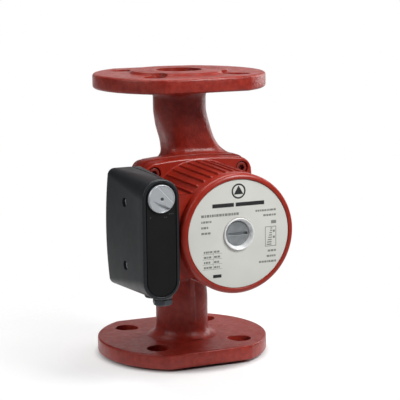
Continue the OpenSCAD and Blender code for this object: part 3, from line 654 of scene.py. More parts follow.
def skin(field, low, high, step):
    """Points and quads where a distance field is zero, inside a box, on cells of one step."""
    size = np.ceil((np.asarray(high) - low) / step).astype(int) + 1
    axes = [low[k] + step * np.arange(size[k]) for k in range(3)]
    value = field(*np.meshgrid(*axes, indexing="ij"))
    total, hits, loops = np.zeros((size.prod(), 3)), np.zeros(size.prod()), []
    for k in range(3):
        first, second = (np.take(value, range(s, size[k] - 1 + s), axis=k) for s in (0, 1))
        at = np.argwhere((first < 0) != (second < 0))
        b, c = (k + 1) % 3, (k + 2) % 3
        at = at[(at[:, b] > 0) & (at[:, c] > 0)]
        v0, v1 = first[tuple(at.T)], second[tuple(at.T)]
        crossing = at.astype(float)
        crossing[:, k] += v0 / (v0 - v1)
        around = []
        for db, dc in ((1, 1), (0, 1), (0, 0), (1, 0)):
            cell = at.copy()
            cell[:, b] -= db
            cell[:, c] -= dc
            number = np.ravel_multi_index(tuple(cell.T), tuple(size))
            around.append(number)
            for m in range(3):
                total[:, m] += np.bincount(number, crossing[:, m], len(hits))
            hits += np.bincount(number, minlength=len(hits))
        loop = np.stack(around, -1)
        loop[v0 > 0] = loop[v0 > 0][:, ::-1]
        loops.append(loop)
    used = np.flatnonzero(hits)
    renumber = np.zeros(len(hits), int)
    renumber[used] = np.arange(len(used))
    points = np.asarray(low) + step * total[used] / hits[used, None]
    for _ in range(4):
        near = [points + side * PROBE * np.eye(3)[k] for side in (1, -1) for k in range(3)]
        sample = [field(*p.T) for p in near]
        slope = np.stack([(sample[k] - sample[k + 3]) / (2 * PROBE) for k in range(3)], -1)
        slip = field(*points.T)[:, None] * slope / np.maximum((slope ** 2).sum(1, keepdims=True), 0.2)
        points -= np.clip(slip, -0.4 * step, 0.4 * step)
    return points, renumber[np.vstack(loops)]


# %% [markdown]
# ### Flanges and the machined faces
# Flanges and the joint are turned after casting, so they are plates with crisp edges and not part of
# the field. The bolt holes fit two pressure classes, so each is two circles joined into an egg. The
# raised face has fine grooves for the gasket.

# %% Pump housing
CAST_STEP = 1.35
body_part = skin(casting, (-56, -30, FLANGE_TOP - 4), (56, 40, height - FLANGE_TOP + 4), CAST_STEP)
flat_turn = math.degrees(math.asin(flange_half / flange_r))
flange_line = np.vstack([arc(flange_r, side - flat_turn, side + flat_turn, 61) for side in (0, 180)])
port_hole = circle(PORT_R, steps=96)
BOLT_CIRCLE_R = 55.0
BOLT_R, SMALL_BOLT_R = 9.5, 6.75
HOLE_CLEAR = 7.1


def flange(small_at, edge):
    """The plate with its four holes, and the raised face, whose rim stops short of every hole: on a
    ray at an angle a from a hole it ends at c cos a - sqrt(h^2 - c^2 sin^2 a)."""
    egg_hole = egg(BOLT_R, SMALL_BOLT_R, BOLT_CIRCLE_R - small_at, BOLT_CIRCLE_R)
    holes = [turned(egg_hole, a) for a in (45, 135, 225, 315)]
    blank = plate(flange_line, [*holes, port_hole], RAISED, FLANGE_TOP, edge, 0.5)
    points, faces = lathe(np.array(face_line), 360)
    off = np.abs(np.arctan2(points[:, 1], points[:, 0]) % (np.pi / 2) - np.pi / 4)
    chord = HOLE_CLEAR ** 2 - (small_at * np.sin(off)) ** 2
    limit = np.where(chord > 0, small_at * np.cos(off) - np.sqrt(np.maximum(chord, 0)), np.inf)
    reach = np.hypot(points[:, 0], points[:, 1])
    shrink = np.where(points[:, 2] < RAISED + 1, np.minimum(reach, limit) / reach, 1)
    return [blank, (points * np.column_stack([shrink, shrink, np.ones(len(shrink))]), faces)]


groove_at = RAISED_R - 6 - 3 * np.arange(5)
grooves = [(r + d, 0 if abs(d) > 0.3 else 0.25) for r in groove_at[::-1] for d in (-0.45, -0.25, 0.25, 0.45)]
face_line = [(PORT_R, FLANGE_TOP - 1), (PORT_R, 0), *grooves, (RAISED_R - 2.4, 0),
             (RAISED_R, RAISED + 0.5), (RAISED_R, FLANGE_TOP - 1)]
low_flange_parts = flange(50, 1.5)
high_flange_parts = [(p * [1, -1, -1] + [0, 0, height], f) for p, f in flange(46.5, 2.4)]
joint_holes = [circle(CHAMBER_R, steps=96)]
joint_holes += [circle(3.1, (x, y), 24) for x in (-SCREW_HALF, SCREW_HALF) for y in (-SCREW_HALF, SCREW_HALF)]
joint_part = plate(crowned_square(JOINT_W, CORNER_R), joint_holes, joint_front - JOINT_T, joint_front,
                   0.35, 0.4, low_edge=1.6)
joint_part = (motor(joint_part[0]), joint_part[1])
piece("pump_housing_casting", joined(body_part, *low_flange_parts, *high_flange_parts, joint_part),
      iron_red, stands_for=["pump_housing"], place=as_is, sharp=40)

# %% [markdown]
# ## The motor housing
# A die casting: a square flange with four sunk screws, a barrel with cooling ribs, and a rolled
# front rim that holds the name plate. The barrel is one grid of angle by profile: the radius is the
# lathe profile plus a rib wave, whose flanks are steep and whose tops are round.

# %% Barrel with ribs
FLANGE_FACE = 41.0
BARREL_R = 49.6
RIM_R = 49.3
RIM_BACK = motor_front - 14
RIB_FRONT = RIM_BACK - 1.4
RIB_COUNT = 44
FOOT = 1.3
RIB_H = 0.85
RIB_W = 2.1
RIB_END = 2.2
SEAT = plate_low[2]
SEAT_R = plate_high[0] + 0.3
VENT_R = 13.3


def barrel():
    """Columns are angles, bunched at each rib's flanks; rows run along the closed wall section."""
    pitch = 360 / RIB_COUNT
    flank = np.array([0.35, 0.7, 0.95, 1.1, 1.2, 1.3, 1.45])
    across = np.concatenate([-flank[::-1], [0], flank, [2.6]])
    angle = (np.arange(RIB_COUNT)[:, None] + 0.5) * pitch + np.degrees(across / BARREL_R)[None]
    swell = np.clip(1 - np.abs(across / (RIB_W / 2)) ** 2.6, 0, 1) ** 0.45
    keep = np.abs((np.arange(RIB_COUNT) + 0.5) * pitch - 180) > 44
    wave = (keep[:, None] * swell[None]).ravel()
    t = np.radians(angle.ravel())
    rows = np.concatenate([np.linspace(FLANGE_FACE - 0.1, FLANGE_FACE + 5, 12),
                           np.linspace(FLANGE_FACE + 6, RIB_FRONT - 2.4, 8),
                           RIB_FRONT - RIB_END * np.cos(np.linspace(0, np.pi / 2, 8))[1:]])
    wall = np.interp(rows, [FLANGE_FACE, RIM_BACK], [BARREL_R, RIM_R - 1.3])
    top = np.interp(rows, [FLANGE_FACE, RIB_FRONT], [BARREL_R + RIB_H, RIM_R + 0.25])
    past = np.clip(rows - RIB_FRONT + RIB_END, 0, RIB_END) / RIB_END
    end = np.sqrt(np.clip(1 - past ** 2, 0, 1)) * np.clip((rows - FLANGE_FACE - 0.3) / 1.5, 0, 1)
    foot = FOOT - np.sqrt(np.clip(FOOT ** 2 - np.clip(FLANGE_FACE + FOOT - rows, 0, FOOT) ** 2, 0, None))
    outer = (wall + foot)[:, None] + ((top - wall) * end)[:, None] * wave[None]
    rim = rounded([(RIM_R - 1.3, RIM_BACK - 0.9), (RIM_R - 1.3, RIM_BACK), (RIM_R - 0.2, RIM_BACK + 1.1),
                   (RIM_R, RIM_BACK + 3.4), (RIM_R, motor_front), (SEAT_R + 0.3, motor_front),
                   (SEAT_R, SEAT), (VENT_R, SEAT), (VENT_R, SEAT - 6.6), (BARREL_R - 7.6, SEAT - 6.6),
                   (BARREL_R - 7.6, 80.5), (BARREL_R - 5.5, 80.5), (BARREL_R - 5.5, FLANGE_FACE - 0.1)],
                  [0.3, 0.5, 0.8, 3.6, 0.5, 0.15, 0.15, 1, 1, 0.3, 0.3])
    radius = np.vstack([outer, np.repeat(rim[:, :1], len(t), 1)])
    along = np.concatenate([rows, rim[:, 1]])
    points = np.stack([radius * np.cos(t), radius * np.sin(t), np.repeat(along[:, None], len(t), 1)], -1)
    return points.reshape(-1, 3), grid_faces(len(along), len(t), close_rows=True)


# %% Motor flange and box seat
SCREW_R = 5.0
COUNTERBORE_R = 5.8
HEAD_BACK = FLANGE_FACE - 7
screw_places = [(x, y) for x in (-SCREW_HALF, SCREW_HALF) for y in (-SCREW_HALF, SCREW_HALF)]
motor_holes = [circle(BARREL_R - 5.5, steps=96), *[circle(COUNTERBORE_R, spot, 48) for spot in screw_places]]
square_part = plate(crowned_square(motor_w, CORNER_R), motor_holes, motor_back, FLANGE_FACE, 1.8, 0.7,
                    low_edge=0.35)
seat_line = [(3.3, motor_back + 0.2), (3.3, HEAD_BACK), (COUNTERBORE_R + 0.3, HEAD_BACK),
             (COUNTERBORE_R + 0.3, motor_back + 0.2)]
seat_parts = [moved(lathe(np.array(seat_line), 48), (*spot, 0)) for spot in screw_places]
BOX_SEAT = base_high[0] + 0.2
SEAT_HALF = 33.0
seat_corners = [(BOX_SEAT, -SEAT_HALF), (BOX_SEAT, SEAT_HALF), (-36, SEAT_HALF), (-36, -SEAT_HALF)]
seat_outline = rounded_loop(seat_corners, [2.5, 2.5, 1, 1])
box_seat_part = plate(seat_outline, (), FLANGE_FACE - 1, RIM_BACK + 5, 1.5)
piece("motor_housing_casting", joined(barrel(), square_part, box_seat_part, *seat_parts), motor_red,
      stands_for=["stator_housing"], sharp=38)

# %% [markdown]
# ## Cap screws, name plate and vent
# Four M6 socket-head screws are painted over with the motor. The name plate is a printed ring of
# polyester on the motor's face; its lettering and marks are left out, and plain rules, a plain
# table and the standard symbol of a pump take their place. In its middle a bright collar surrounds
# the vent screw, which is slotted and has a real thread, seen when it is backed out.

# %% Cap screws
hexagon = circle(5 / math.sqrt(3), steps=6)
head_top = plate(circle(SCREW_R, steps=48), [rounded_loop(hexagon, 0.15, 2)], HEAD_BACK + 2.5,
                 HEAD_BACK + 6, 0.6, 0.2)
head_low = lathe(rounded([(0, 14), (3, 14), (3, HEAD_BACK), (SCREW_R, HEAD_BACK), (SCREW_R, HEAD_BACK + 2.6),
                          (0, HEAD_BACK + 2.6)], [0.4, 0.1, 0.3, 0.05]), 48, close=False)
screw_part = joined(head_top, head_low)
piece("motor_cap_screws", joined(*[moved(screw_part, (*spot, 0)) for spot in screw_places]),
      screw_red, stands_for=["motor_screws"])

# %% Name plate and its printing
PLATE_R = plate_high[0]
piece("name_plate_ring", plate(circle(PLATE_R, steps=160), [circle(VENT_R + 0.25, steps=96)],
                               SEAT, plate_high[2], 0.12, 0.1), label_white,
      stands_for=["name_plate"])
INK = 0.03
DASH_GAP = 0.5


def bars(rows, surface):
    """Flat printed bars, as boxes an ink layer thick: each row is left, bottom, width, height."""
    left, bottom, width, tall = np.asarray(rows, float).T
    corner = np.array([(0, 0), (1, 0), (1, 1), (0, 1)], float)
    flat = np.stack([left[:, None] + width[:, None] * corner[:, 0],
                     bottom[:, None] + tall[:, None] * corner[:, 1]], -1)
    low_level = np.full(flat.shape[:2], surface - 0.01)
    ring = [np.concatenate([flat, (low_level + up_)[..., None]], -1) for up_ in (0, INK + 0.01)]
    points = np.stack(ring, 1).reshape(-1, 3)
    cell = np.array([(3, 2, 1, 0), (4, 5, 6, 7), (0, 1, 5, 4), (1, 2, 6, 5), (2, 3, 7, 6), (3, 0, 4, 7)])
    return points, (cell[None] + 8 * np.arange(len(left))[:, None, None]).reshape(-1, 4)


def dashes(left, bottom, width, tall, seed):
    """A line of short dashes of mixed lengths that stands for a line of small print."""
    lengths = np.random.default_rng(seed).uniform(0.9, 2.6, 40)
    start = left + np.concatenate([[0], np.cumsum(lengths + DASH_GAP)[:-1]])
    fits = start + lengths < left + width
    return [(s, bottom, l, tall) for s, l in zip(start[fits], lengths[fits])]


dark_bars = [(-23.2, 22.6, 19, 3.2), (-2.6, 22.6, 25.4, 3.2), (-23, -34.4, 7.4, 2.6)]
pump_symbol = joined(plate(circle(6.2, (0, 35), 64), [circle(4.9, (0, 35), 64)], plate_high[2] - 0.01,
                           plate_high[2] + INK, 0.01, 0.01, 1),
                     plate(np.array([(-4.2, 32.4), (4.2, 32.4), (0, 39.6)]), (), plate_high[2] - 0.01,
                           plate_high[2] + INK, 0.01, 0.01, 1))
piece("name_plate_symbol", joined(pump_symbol, bars(dark_bars, plate_high[2])), print_black)
small_print = []
for k, (width, tall) in enumerate(((34, 2.1), (11, 1.7), (7, 1.7), (9, 1.7))):
    small_print += dashes(-33, 15.6 - 4.6 * k, width, tall, 10 + k)
for k, (start, width) in enumerate(((15, 19), (22, 12))):
    small_print += dashes(start, 16.8 - 4.2 * k, width, 1.6, 20 + k)
for k in range(4):
    small_print += dashes(-31, -13.6 - 4.2 * k, 7.5, 1.6, 30 + k)
    small_print += dashes(-22, -13.6 - 4.2 * k, 6, 1.6, 40 + k)
    small_print.append((-32, -14.6 - 4.2 * k, 17, 0.25))
small_print.append((-22.9, -27, 0.25, 15.5))
for k, (start, width) in enumerate(((26, 8), (25, 9), (18, 16))):
    small_print += dashes(start, -17 - 4.4 * k, width, 1.6, 50 + k)
small_print += [(23.6, -12.6, 0.5, 16.5), (23.6, -12.6, 10, 0.5),
                (33.1, -12.6, 0.5, 16.5), (23.6, 3.4, 10, 0.5)]
small_print += [(25 + 0.5 * k, -11.4 + 1.9 * k, 4.4 - 0.4 * k, 0.9) for k in range(8)]
small_print += [(30.6, -6, 1.8, 1.8), (30.6, -1, 1.8, 1.8), (29, 6.2, 4.6, 2.6)]
piece("name_plate_small_print", bars(small_print, plate_high[2]), print_grey)

# %% [markdown]
# ### The vent
# The collar and the screw are turned, so each is a lathe. The thread is cut where its radius follows
# a triangle wave of height minus turn, which is what a single-point tool leaves.

# %% Vent collar and screw
vent_low, vent_high = motor_box("vent_screw")
VENT_FACE = vent_high[2]
HEAD_R = 9.8
THREAD_R = 8.0
collar_line = rounded([(HEAD_R + 0.3, SEAT - 5.6), (VENT_R - 0.1, SEAT - 5.6), (VENT_R - 0.1, SEAT + 2),
                       (VENT_R - 1, SEAT + 2), (HEAD_R + 0.3, VENT_FACE - 0.8), (HEAD_R + 0.3, SEAT - 5.6)],
                      [0.1, 0.45, 0.35, 0.2])[:-1]
piece("vent_collar_turned", lathe(collar_line, 128), collar_bright,
      stands_for=["vent_collar"])


def threaded(radius, start, end, pitch, depth):
    """A rod whose radius falls and rises with height minus turn:
    r = radius - depth * triangle(z/pitch - t)."""
    t = np.linspace(0, 2 * np.pi, 96, endpoint=False)
    z = np.linspace(start, end, int((end - start) / pitch * 10))
    phase = np.abs(((z[:, None] / pitch - t[None] / (2 * np.pi)) % 1) * 2 - 1)
    fade = np.clip(np.minimum(z - start, end - z) / 0.8, 0, 1)[:, None]
    r = radius - depth * np.clip(phase * 1.5 - 0.25, 0, 1) * fade
    points = np.stack([r * np.cos(t), r * np.sin(t), np.repeat(z[:, None], len(t), 1)], -1)
    ends = [np.repeat(points[k].mean(0)[None], len(t), 0) for k in (0, -1)]
    points = np.concatenate([ends[0][None], points, ends[1][None]])
    return points.reshape(-1, 3), grid_faces(len(points), len(t))


slot_hole = rounded_loop([(8.4, 1.15), (-8.4, 1.15), (-8.4, -1.15), (8.4, -1.15)], 0.25, 2)
vent_top = plate(circle(HEAD_R, steps=96), [slot_hole], VENT_FACE - 2.4, VENT_FACE, 0.5, 0.12)
vent_under = plate(circle(HEAD_R, steps=96), (), VENT_FACE - 4, VENT_FACE - 2.35, 0.05)
vent_thread = threaded(THREAD_R, vent_low[2], VENT_FACE - 3.5, 1.5, 0.75)
piece("vent_screw_slotted", joined(vent_top, vent_under, vent_thread), screw_dull, "vent_turn",
      ["vent_screw"])

# %% [markdown]
# ## The terminal box
# Two black mouldings meet at a seam behind the nose: a base screwed to the motor and a cover that
# carries the front panel. The outside is one loft. Its section is a stadium at the nose; towards
# the back the corners grow tighter and the left side bulges to make room for the capacitor. The
# real tool has the same inside, so the walls and the seam come from cutting with solids.

# %% Box form
BOX_RIGHT, BOX_LEFT = base_high[0], base_high[0] - 31.4
BOX_HALF = cover_high[1]
BOX_X = (BOX_RIGHT + BOX_LEFT) / 2
BOX_R = (BOX_RIGHT - BOX_LEFT) / 2
BOX_Y = BOX_HALF - BOX_R
BOX_BACK, BOX_FRONT = cover_low[2], cover_high[2]
NOSE = BOX_FRONT - 10
SWELL, CROWN = 1.8, 2.2
WALL = 2.2


def box_section(m, inset):
    """Closed outline at one depth: corners of radius r, a flat right side, and a left side that is
    pushed out as a whole by swell and in its middle by crown * (1 - (y/h)^2)."""
    forward = min(max((m - BOX_BACK) / (NOSE - BOX_BACK), 0), 1)
    r = 6 + (BOX_R - 6) * forward - inset
    reach = BOX_HALF - inset - r
    a = BOX_RIGHT - inset - r
    b = BOX_LEFT + inset + r - SWELL * (1 - forward)
    y = reach * np.cos(np.linspace(0, np.pi, 25))[1:-1]
    left_side = np.stack([b - r - CROWN * (1 - forward) * (1 - (y / reach) ** 2), y], -1)
    right_side = np.stack([np.full(7, a + r), np.linspace(-reach, reach, 9)[1:-1]], -1)
    return np.vstack([right_side, arc(r, 0, 90, 10, (a, reach)), arc(r, 90, 180, 10, (b, reach)), left_side,
                      arc(r, 180, 270, 10, (b, -reach)), arc(r, 270, 360, 10, (a, -reach))])


def box_loft(rows):
    """Sections at (depth, inset) rows joined into a closed solid with flat ends."""
    loops = [box_section(m, inset) for m, inset in rows]
    points = np.vstack([np.column_stack([loop, np.full(len(loop), row[0])]) for loop, row in zip(loops, rows)])
    count = len(loops[0])
    ends = [list(range(count))[::-1], [count * (len(rows) - 1) + k for k in range(count)]]
    return points, [*grid_faces(len(rows), count).tolist(), *ends]


def block(low, high):
    """A box from corner to corner."""
    points = np.array([[(low, high)[k >> a & 1][a] for a in range(3)] for k in range(8)], float)
    return points, [(0, 2, 3, 1), (4, 5, 7, 6), (0, 1, 5, 4), (2, 6, 7, 3), (0, 4, 6, 2), (1, 3, 7, 5)]


def stadium_line(radius, steps):
    """Two half circles joined by two straight sides, centred on the nose."""
    loop = radius * np.vstack([arc(1, 0, 180, steps), arc(1, 180, 360, steps)])
    return loop + np.column_stack([np.full(2 * steps, BOX_X), np.repeat([BOX_Y, -BOX_Y], steps)])


def stadium(radius, back_, front_, flare):
    """A prism on that outline, whose front flares out."""
    rows = [(back_, radius), (front_ - 0.4, radius), (front_, radius + flare)]
    points = np.vstack([np.column_stack([stadium_line(r, 33), np.full(66, m)]) for m, r in rows])
    return points, [*grid_faces(3, 66).tolist(), list(range(66))[::-1], list(range(132, 198))]


def rod(radius, centre, start, end, axis):
    """A cylinder along axis 0 or 2, to cut with; each end closes on a tiny ring."""
    points, faces = lathe([(1e-4, start), (radius, start), (radius, end), (1e-4, end)], 40)
    return np.roll(points, {2: 0, 0: 1}[axis], axis=1) + np.asarray(centre, float), faces


def sculpted(name, start, steps_):
    """Cuts, joins or trims a solid by others, and gives back its points and faces."""
    whole = new_object(name, *start, 0.0004)
    helpers = []
    for operation, part in steps_:
        helpers.append(new_object(name, *part, 0.0004))
        change = whole.modifiers.new("step", "BOOLEAN")
        change.operation, change.object, change.solver = operation, helpers[-1], "EXACT"
    shaped = whole.evaluated_get(bpy.context.evaluated_depsgraph_get()).to_mesh()
    points = np.array([v.co[:] for v in shaped.vertices])
    faces = [list(face.vertices) for face in shaped.polygons]
    for made in [whole, *helpers]:
        mesh = made.data
        bpy.data.objects.remove(made)
        bpy.data.meshes.remove(mesh)
    return points, faces


quarter = np.linspace(0, np.pi / 2, 6)
back_rows = [(BOX_BACK + 2 * (1 - math.cos(t)), 2 * (1 - math.sin(t))) for t in quarter]
side_rows = [(m, 0) for m in np.linspace(BOX_BACK + 4, NOSE, 14)]
front_rows = [(BOX_FRONT - 1.4 + 1.4 * math.sin(t), 1.4 * (1 - math.cos(t))) for t in quarter]
outside = box_loft([*back_rows, *side_rows, *front_rows])
SEAM_X = BOX_RIGHT - 11.2
SEAM_GAP = 1.1
NOSE_BACK = BOX_FRONT - 17
PANEL_R = BOX_R - 2.7
PANEL_BACK = BOX_FRONT - 1.6
LUG_LOW, LUG_HIGH = -BOX_HALF - 0.6, -BOX_HALF + 9.4
screw_low, screw_high = motor_box("cover_screws")
lug_low, lug_high = motor_box("gland_body")
GLAND_X, GLAND_M = (lug_low[0] + lug_high[0]) / 2, (lug_low[2] + lug_high[2]) / 2
PLUG_M = GLAND_M - 20
LUG_LEFT, LUG_BACK = GLAND_X - 8, PLUG_M - 11
hollow = box_loft([(BOX_BACK + WALL, WALL), *[(m, WALL) for m in np.linspace(BOX_BACK + 5, NOSE, 8)],
                   (BOX_FRONT - 5, WALL)])
RECESS_R, HEAD_SEAT = 3.9, BOX_LEFT + 2.4
SCREW_Y = screw_high[1] - (screw_high[2] - screw_low[2]) / 2
SCREW_M = (screw_high[2] + screw_low[2]) / 2
cover_steps = [("DIFFERENCE", hollow),
               ("DIFFERENCE", block((SEAM_X - SEAM_GAP, -60, 30), (-40, 60, NOSE_BACK))),
               ("DIFFERENCE", block((LUG_LEFT - 0.2, -60, LUG_BACK - 0.2), (-40, LUG_HIGH + 0.2, NOSE_BACK))),
               ("DIFFERENCE", stadium(PANEL_R, PANEL_BACK, BOX_FRONT + 0.2, 0.45)),
               ("DIFFERENCE", rod(RECESS_R, (0, SCREW_Y, SCREW_M), -95, HEAD_SEAT, 0)),
               ("DIFFERENCE", rod(RECESS_R, (0, -SCREW_Y, SCREW_M), -95, HEAD_SEAT, 0)),
               ("DIFFERENCE", rod(4.4, (BOX_X, BOX_Y, 0), BOX_FRONT - 12, BOX_FRONT + 1, 2))]
cover_part = sculpted("cover", outside, cover_steps)
piece("terminal_box_cover_moulding", cover_part, box_black,
      stands_for=["terminal_box_cover"], sharp=32)

# %% [markdown]
# ### Small screws and the cable lug
# Two slotted pan heads sit sunk in the cover's left side. The base ends below in a thick lug that
# takes the gland and the blanking plug, so it is a plate with two holes, tipped on its side.

# %% Cover screws
slot_line = rounded_loop([(2.5, 0.45), (-2.5, 0.45), (-2.5, -0.45), (2.5, -0.45)], 0.1, 2)
slotted = plate(circle(3.2, steps=40), [slot_line], 1.2, 2.2, 0.5, 0.1)
pan = joined(lathe(rounded([(0.01, -6), (1.6, -6), (1.6, 0), (3.2, 0), (3.2, 1.3), (0.01, 1.3)],
                           [0.2, 0.1, 0.1, 0.05], 2), 40), slotted)
pan = (np.roll(turned_about_third(pan, 63)[0], 1, axis=1) * [-1, 1, 1], pan[1])
piece("cover_screws_slotted", joined(moved(pan, (HEAD_SEAT + 0.2, SCREW_Y, SCREW_M)),
                                     moved(pan, (HEAD_SEAT + 0.2, -SCREW_Y, SCREW_M))), zinc,
      stands_for=["cover_screws"])

# %% Base with its cable lug
base_hollow = box_loft([(BOX_BACK + WALL, WALL),
                        *[(m, WALL) for m in np.linspace(BOX_BACK + 5, NOSE_BACK - 3, 8)]])
base_steps = [("INTERSECT", block((SEAM_X, -60, 30), (-40, 60, NOSE_BACK - 0.2))),
              ("DIFFERENCE", base_hollow)]
base_part = sculpted("base", outside, base_steps)
lug_outline = rounded_loop([(LUG_LEFT, LUG_BACK), (LUG_LEFT, NOSE_BACK - 0.2), (BOX_RIGHT, NOSE_BACK - 0.2),
                            (BOX_RIGHT, LUG_BACK)], 2.5)[::-1]
lug_holes = [circle(6.1, (GLAND_X + 2.2, m), 48) for m in (GLAND_M, PLUG_M)]
lug_part = plate(lug_outline, lug_holes, LUG_LOW, LUG_HIGH, 0.8, 0.3)
lug_part = (lug_part[0][:, [0, 2, 1]], [face[::-1] for face in lug_part[1]])
piece("terminal_box_base_moulding", joined(base_part, lug_part), base_grey,
      stands_for=["terminal_box_base"], sharp=32)

# %% [markdown]
# ## Front panel and speed knob
# A matt black printed film lies in the nose's recess, with three plain position marks round the
# knob. The knob is one moulding in silver: a disc with a raised rim, a tapered grip across it that
# points at the chosen speed, a shallow pocket above the grip and a scooped one below it.

# %% Front panel
SPINDLE_GAP = 1.0
panel_loop = stadium_line(PANEL_R - 0.6, 41)
spindle_low, spindle_high = motor_box("switch_spindle")
spindle_hole = circle((spindle_high[0] - spindle_low[0]) / 2 + SPINDLE_GAP, (BOX_X, BOX_Y), 48)
panel_part = plate(panel_loop, [spindle_hole], PANEL_BACK + 0.05, BOX_FRONT - 0.4, 0.15, 0.1, low_edge=0.02)
piece("front_panel_film", panel_part, panel_black,
      stands_for=["front_panel"])

speed_dots = ((-9.6, -15, 1), (2.4, -15.4, 2), (6.6, -13, 3))  # place beside the knob, and how many
marks = [(BOX_X + x + 1.5 * k, BOX_Y + y, 0.8, 0.8) for x, y, count in speed_dots for k in range(count)]
piece("front_panel_marks", bars(marks, BOX_FRONT - 0.4), mark_grey)

# %% Knob
knob_low, knob_high = motor_box("speed_knob")
KNOB_R = (knob_high[0] - knob_low[0]) / 2
KNOB_BACK = knob_low[2]
GRIP_TOP = KNOB_BACK + 2.2
RIM_TOP = KNOB_BACK + 1.5
POINTER = math.radians(-36)


def smooth(value, low, high):
    """0 below low, 1 above high and 3t^2 - 2t^3 between."""
    t = np.clip((value - low) / (high - low), 0, 1)
    return t * t * (3 - 2 * t)


def knob_height(x, y):
    """Height of the knob's face over the disc: u runs along the pointer, v across it."""
    r = np.hypot(x, y)
    u = x * math.cos(POINTER) + y * math.sin(POINTER)
    v = -x * math.sin(POINTER) + y * math.cos(POINTER)
    half = 5.9 - 3.6 * (u + 9) / 20
    away = -v - half
    level_off = RIM_TOP + (GRIP_TOP - RIM_TOP) * (1 - smooth(u, -10, 2))
    valley = (0.15 + 1.05 * smooth(u, -6, 9)) * np.exp(-(np.maximum(away - 0.2, 0) / 3.6) ** 2)
    floor_ = np.where(v > 0, RIM_TOP - 0.35, level_off - valley)
    ring = smooth(r, KNOB_R - 0.95, KNOB_R - 0.7)
    face = floor_ + (RIM_TOP - floor_) * ring
    grip = smooth(half + 0.2 - np.abs(v), 0, 0.45) * smooth(KNOB_R - 0.35 - r, 0, 0.5)
    dot = 0.35 * smooth(1.5 - r, 0, 0.3)
    edge = 0.5 * smooth(r, KNOB_R - 0.5, KNOB_R) ** 2
    return face + (GRIP_TOP - face) * grip - dot - edge


knob_rings = np.concatenate([np.linspace(0.01, KNOB_R - 1.4, 40), np.linspace(KNOB_R - 1.3, KNOB_R, 12)])
knob_turn = np.linspace(0, 2 * np.pi, 240, endpoint=False)
kx, ky = knob_rings[:, None] * np.cos(knob_turn), knob_rings[:, None] * np.sin(knob_turn)
face_rows = np.stack([kx + BOX_X, ky + BOX_Y, knob_height(kx, ky)], -1)
under_rows = [np.stack([r * np.cos(knob_turn) + BOX_X, r * np.sin(knob_turn) + BOX_Y,
                        np.full(240, KNOB_BACK)], -1) for r in (KNOB_R, 0.01)]
knob_points = np.concatenate([face_rows, np.array(under_rows)])
piece("speed_knob_moulding", (knob_points.reshape(-1, 3), grid_faces(len(knob_points), 240)[:, ::-1]),
      knob_silver, "speed_selector", ["speed_knob"], sharp=50)

# %% Knob's pointer dot
dot_part = lathe(rounded([(0.01, GRIP_TOP - 0.5), (1.45, GRIP_TOP - 0.5), (1.45, GRIP_TOP - 0.12),
                          (0.01, GRIP_TOP - 0.12)], [0.05, 0.15], 2), 32)
piece("speed_knob_dot", moved(dot_part, (BOX_X, BOX_Y, 0)), dot_grey, "speed_selector")

# %% [markdown]
# ## Gland and plug
# A nylon cable gland hangs under the box: a body with a hexagon, and a nut whose corners are
# bevelled where a cone cuts them. A plain round plug closes the second entry behind it.

# %% Gland and plug
GLAND_SHIFT = 2.2
NUT_LOW = LUG_LOW - 8.6


def hex_nut(across, low, high, hole, bevel):
    """A hexagon with its corners bevelled: radius = min(hexagon, cone), on a grid of angle and height."""
    t = np.linspace(0, 2 * np.pi, 72, endpoint=False)
    six = across / 2 / np.cos((t + np.pi / 6) % (np.pi / 3) - np.pi / 6)
    level_ = np.concatenate([[low], np.linspace(low + 0.01, low + bevel, 5), [high - 0.3, high]])
    cone = across / 2 - 0.6 + (level_ - low) * 1.3
    radius = np.minimum(six[None], cone[:, None])
    radius[-1] -= 0.3
    ring = np.stack([radius * np.cos(t), radius * np.sin(t), np.repeat(level_[:, None], 72, 1)], -1)
    inner = [np.stack([hole * np.cos(t), hole * np.sin(t), np.full(72, z)], -1) for z in (high, low)]
    rows = np.concatenate([ring, np.array(inner)])
    return rows.reshape(-1, 3), grid_faces(len(rows), 72, close_rows=True)


def hanging(part, m):
    """From an upright axis to the gland's place under the box."""
    points, faces = turned_about_third(part, 12)
    return points[:, [0, 2, 1]] + [GLAND_X + GLAND_SHIFT, 0, m], [face[::-1] for face in faces]


stem = lathe([(5.9, NUT_LOW + 3), (5.9, LUG_HIGH + 1), (3.6, LUG_HIGH + 1), (3.6, NUT_LOW + 3)], 48)
collar_nut = hex_nut(15.2, LUG_LOW - 3.4, LUG_LOW, 5.9, 0.8)
piece("cable_gland_body", joined(hanging(stem, GLAND_M), hanging(collar_nut, GLAND_M)), gland_grey,
      stands_for=["gland_body"])
piece("cable_gland_nut", hanging(hex_nut(14.8, NUT_LOW, LUG_LOW - 3.9, 3.4, 2.2), GLAND_M), gland_grey,
      stands_for=["gland_nut"])
plug_line = rounded([(0.01, LUG_LOW - 6.6), (6.6, LUG_LOW - 6.6), (7.4, LUG_LOW - 5.4), (7.4, LUG_LOW),
                     (5.9, LUG_LOW), (5.9, LUG_HIGH + 1), (0.01, LUG_HIGH + 1)], [0.5, 0.5, 0.2, 0.1, 0.2], 3)
piece("blanking_plug_moulded", hanging(lathe(plug_line, 64), PLUG_M), plug_grey,
      stands_for=["blanking_plug"])
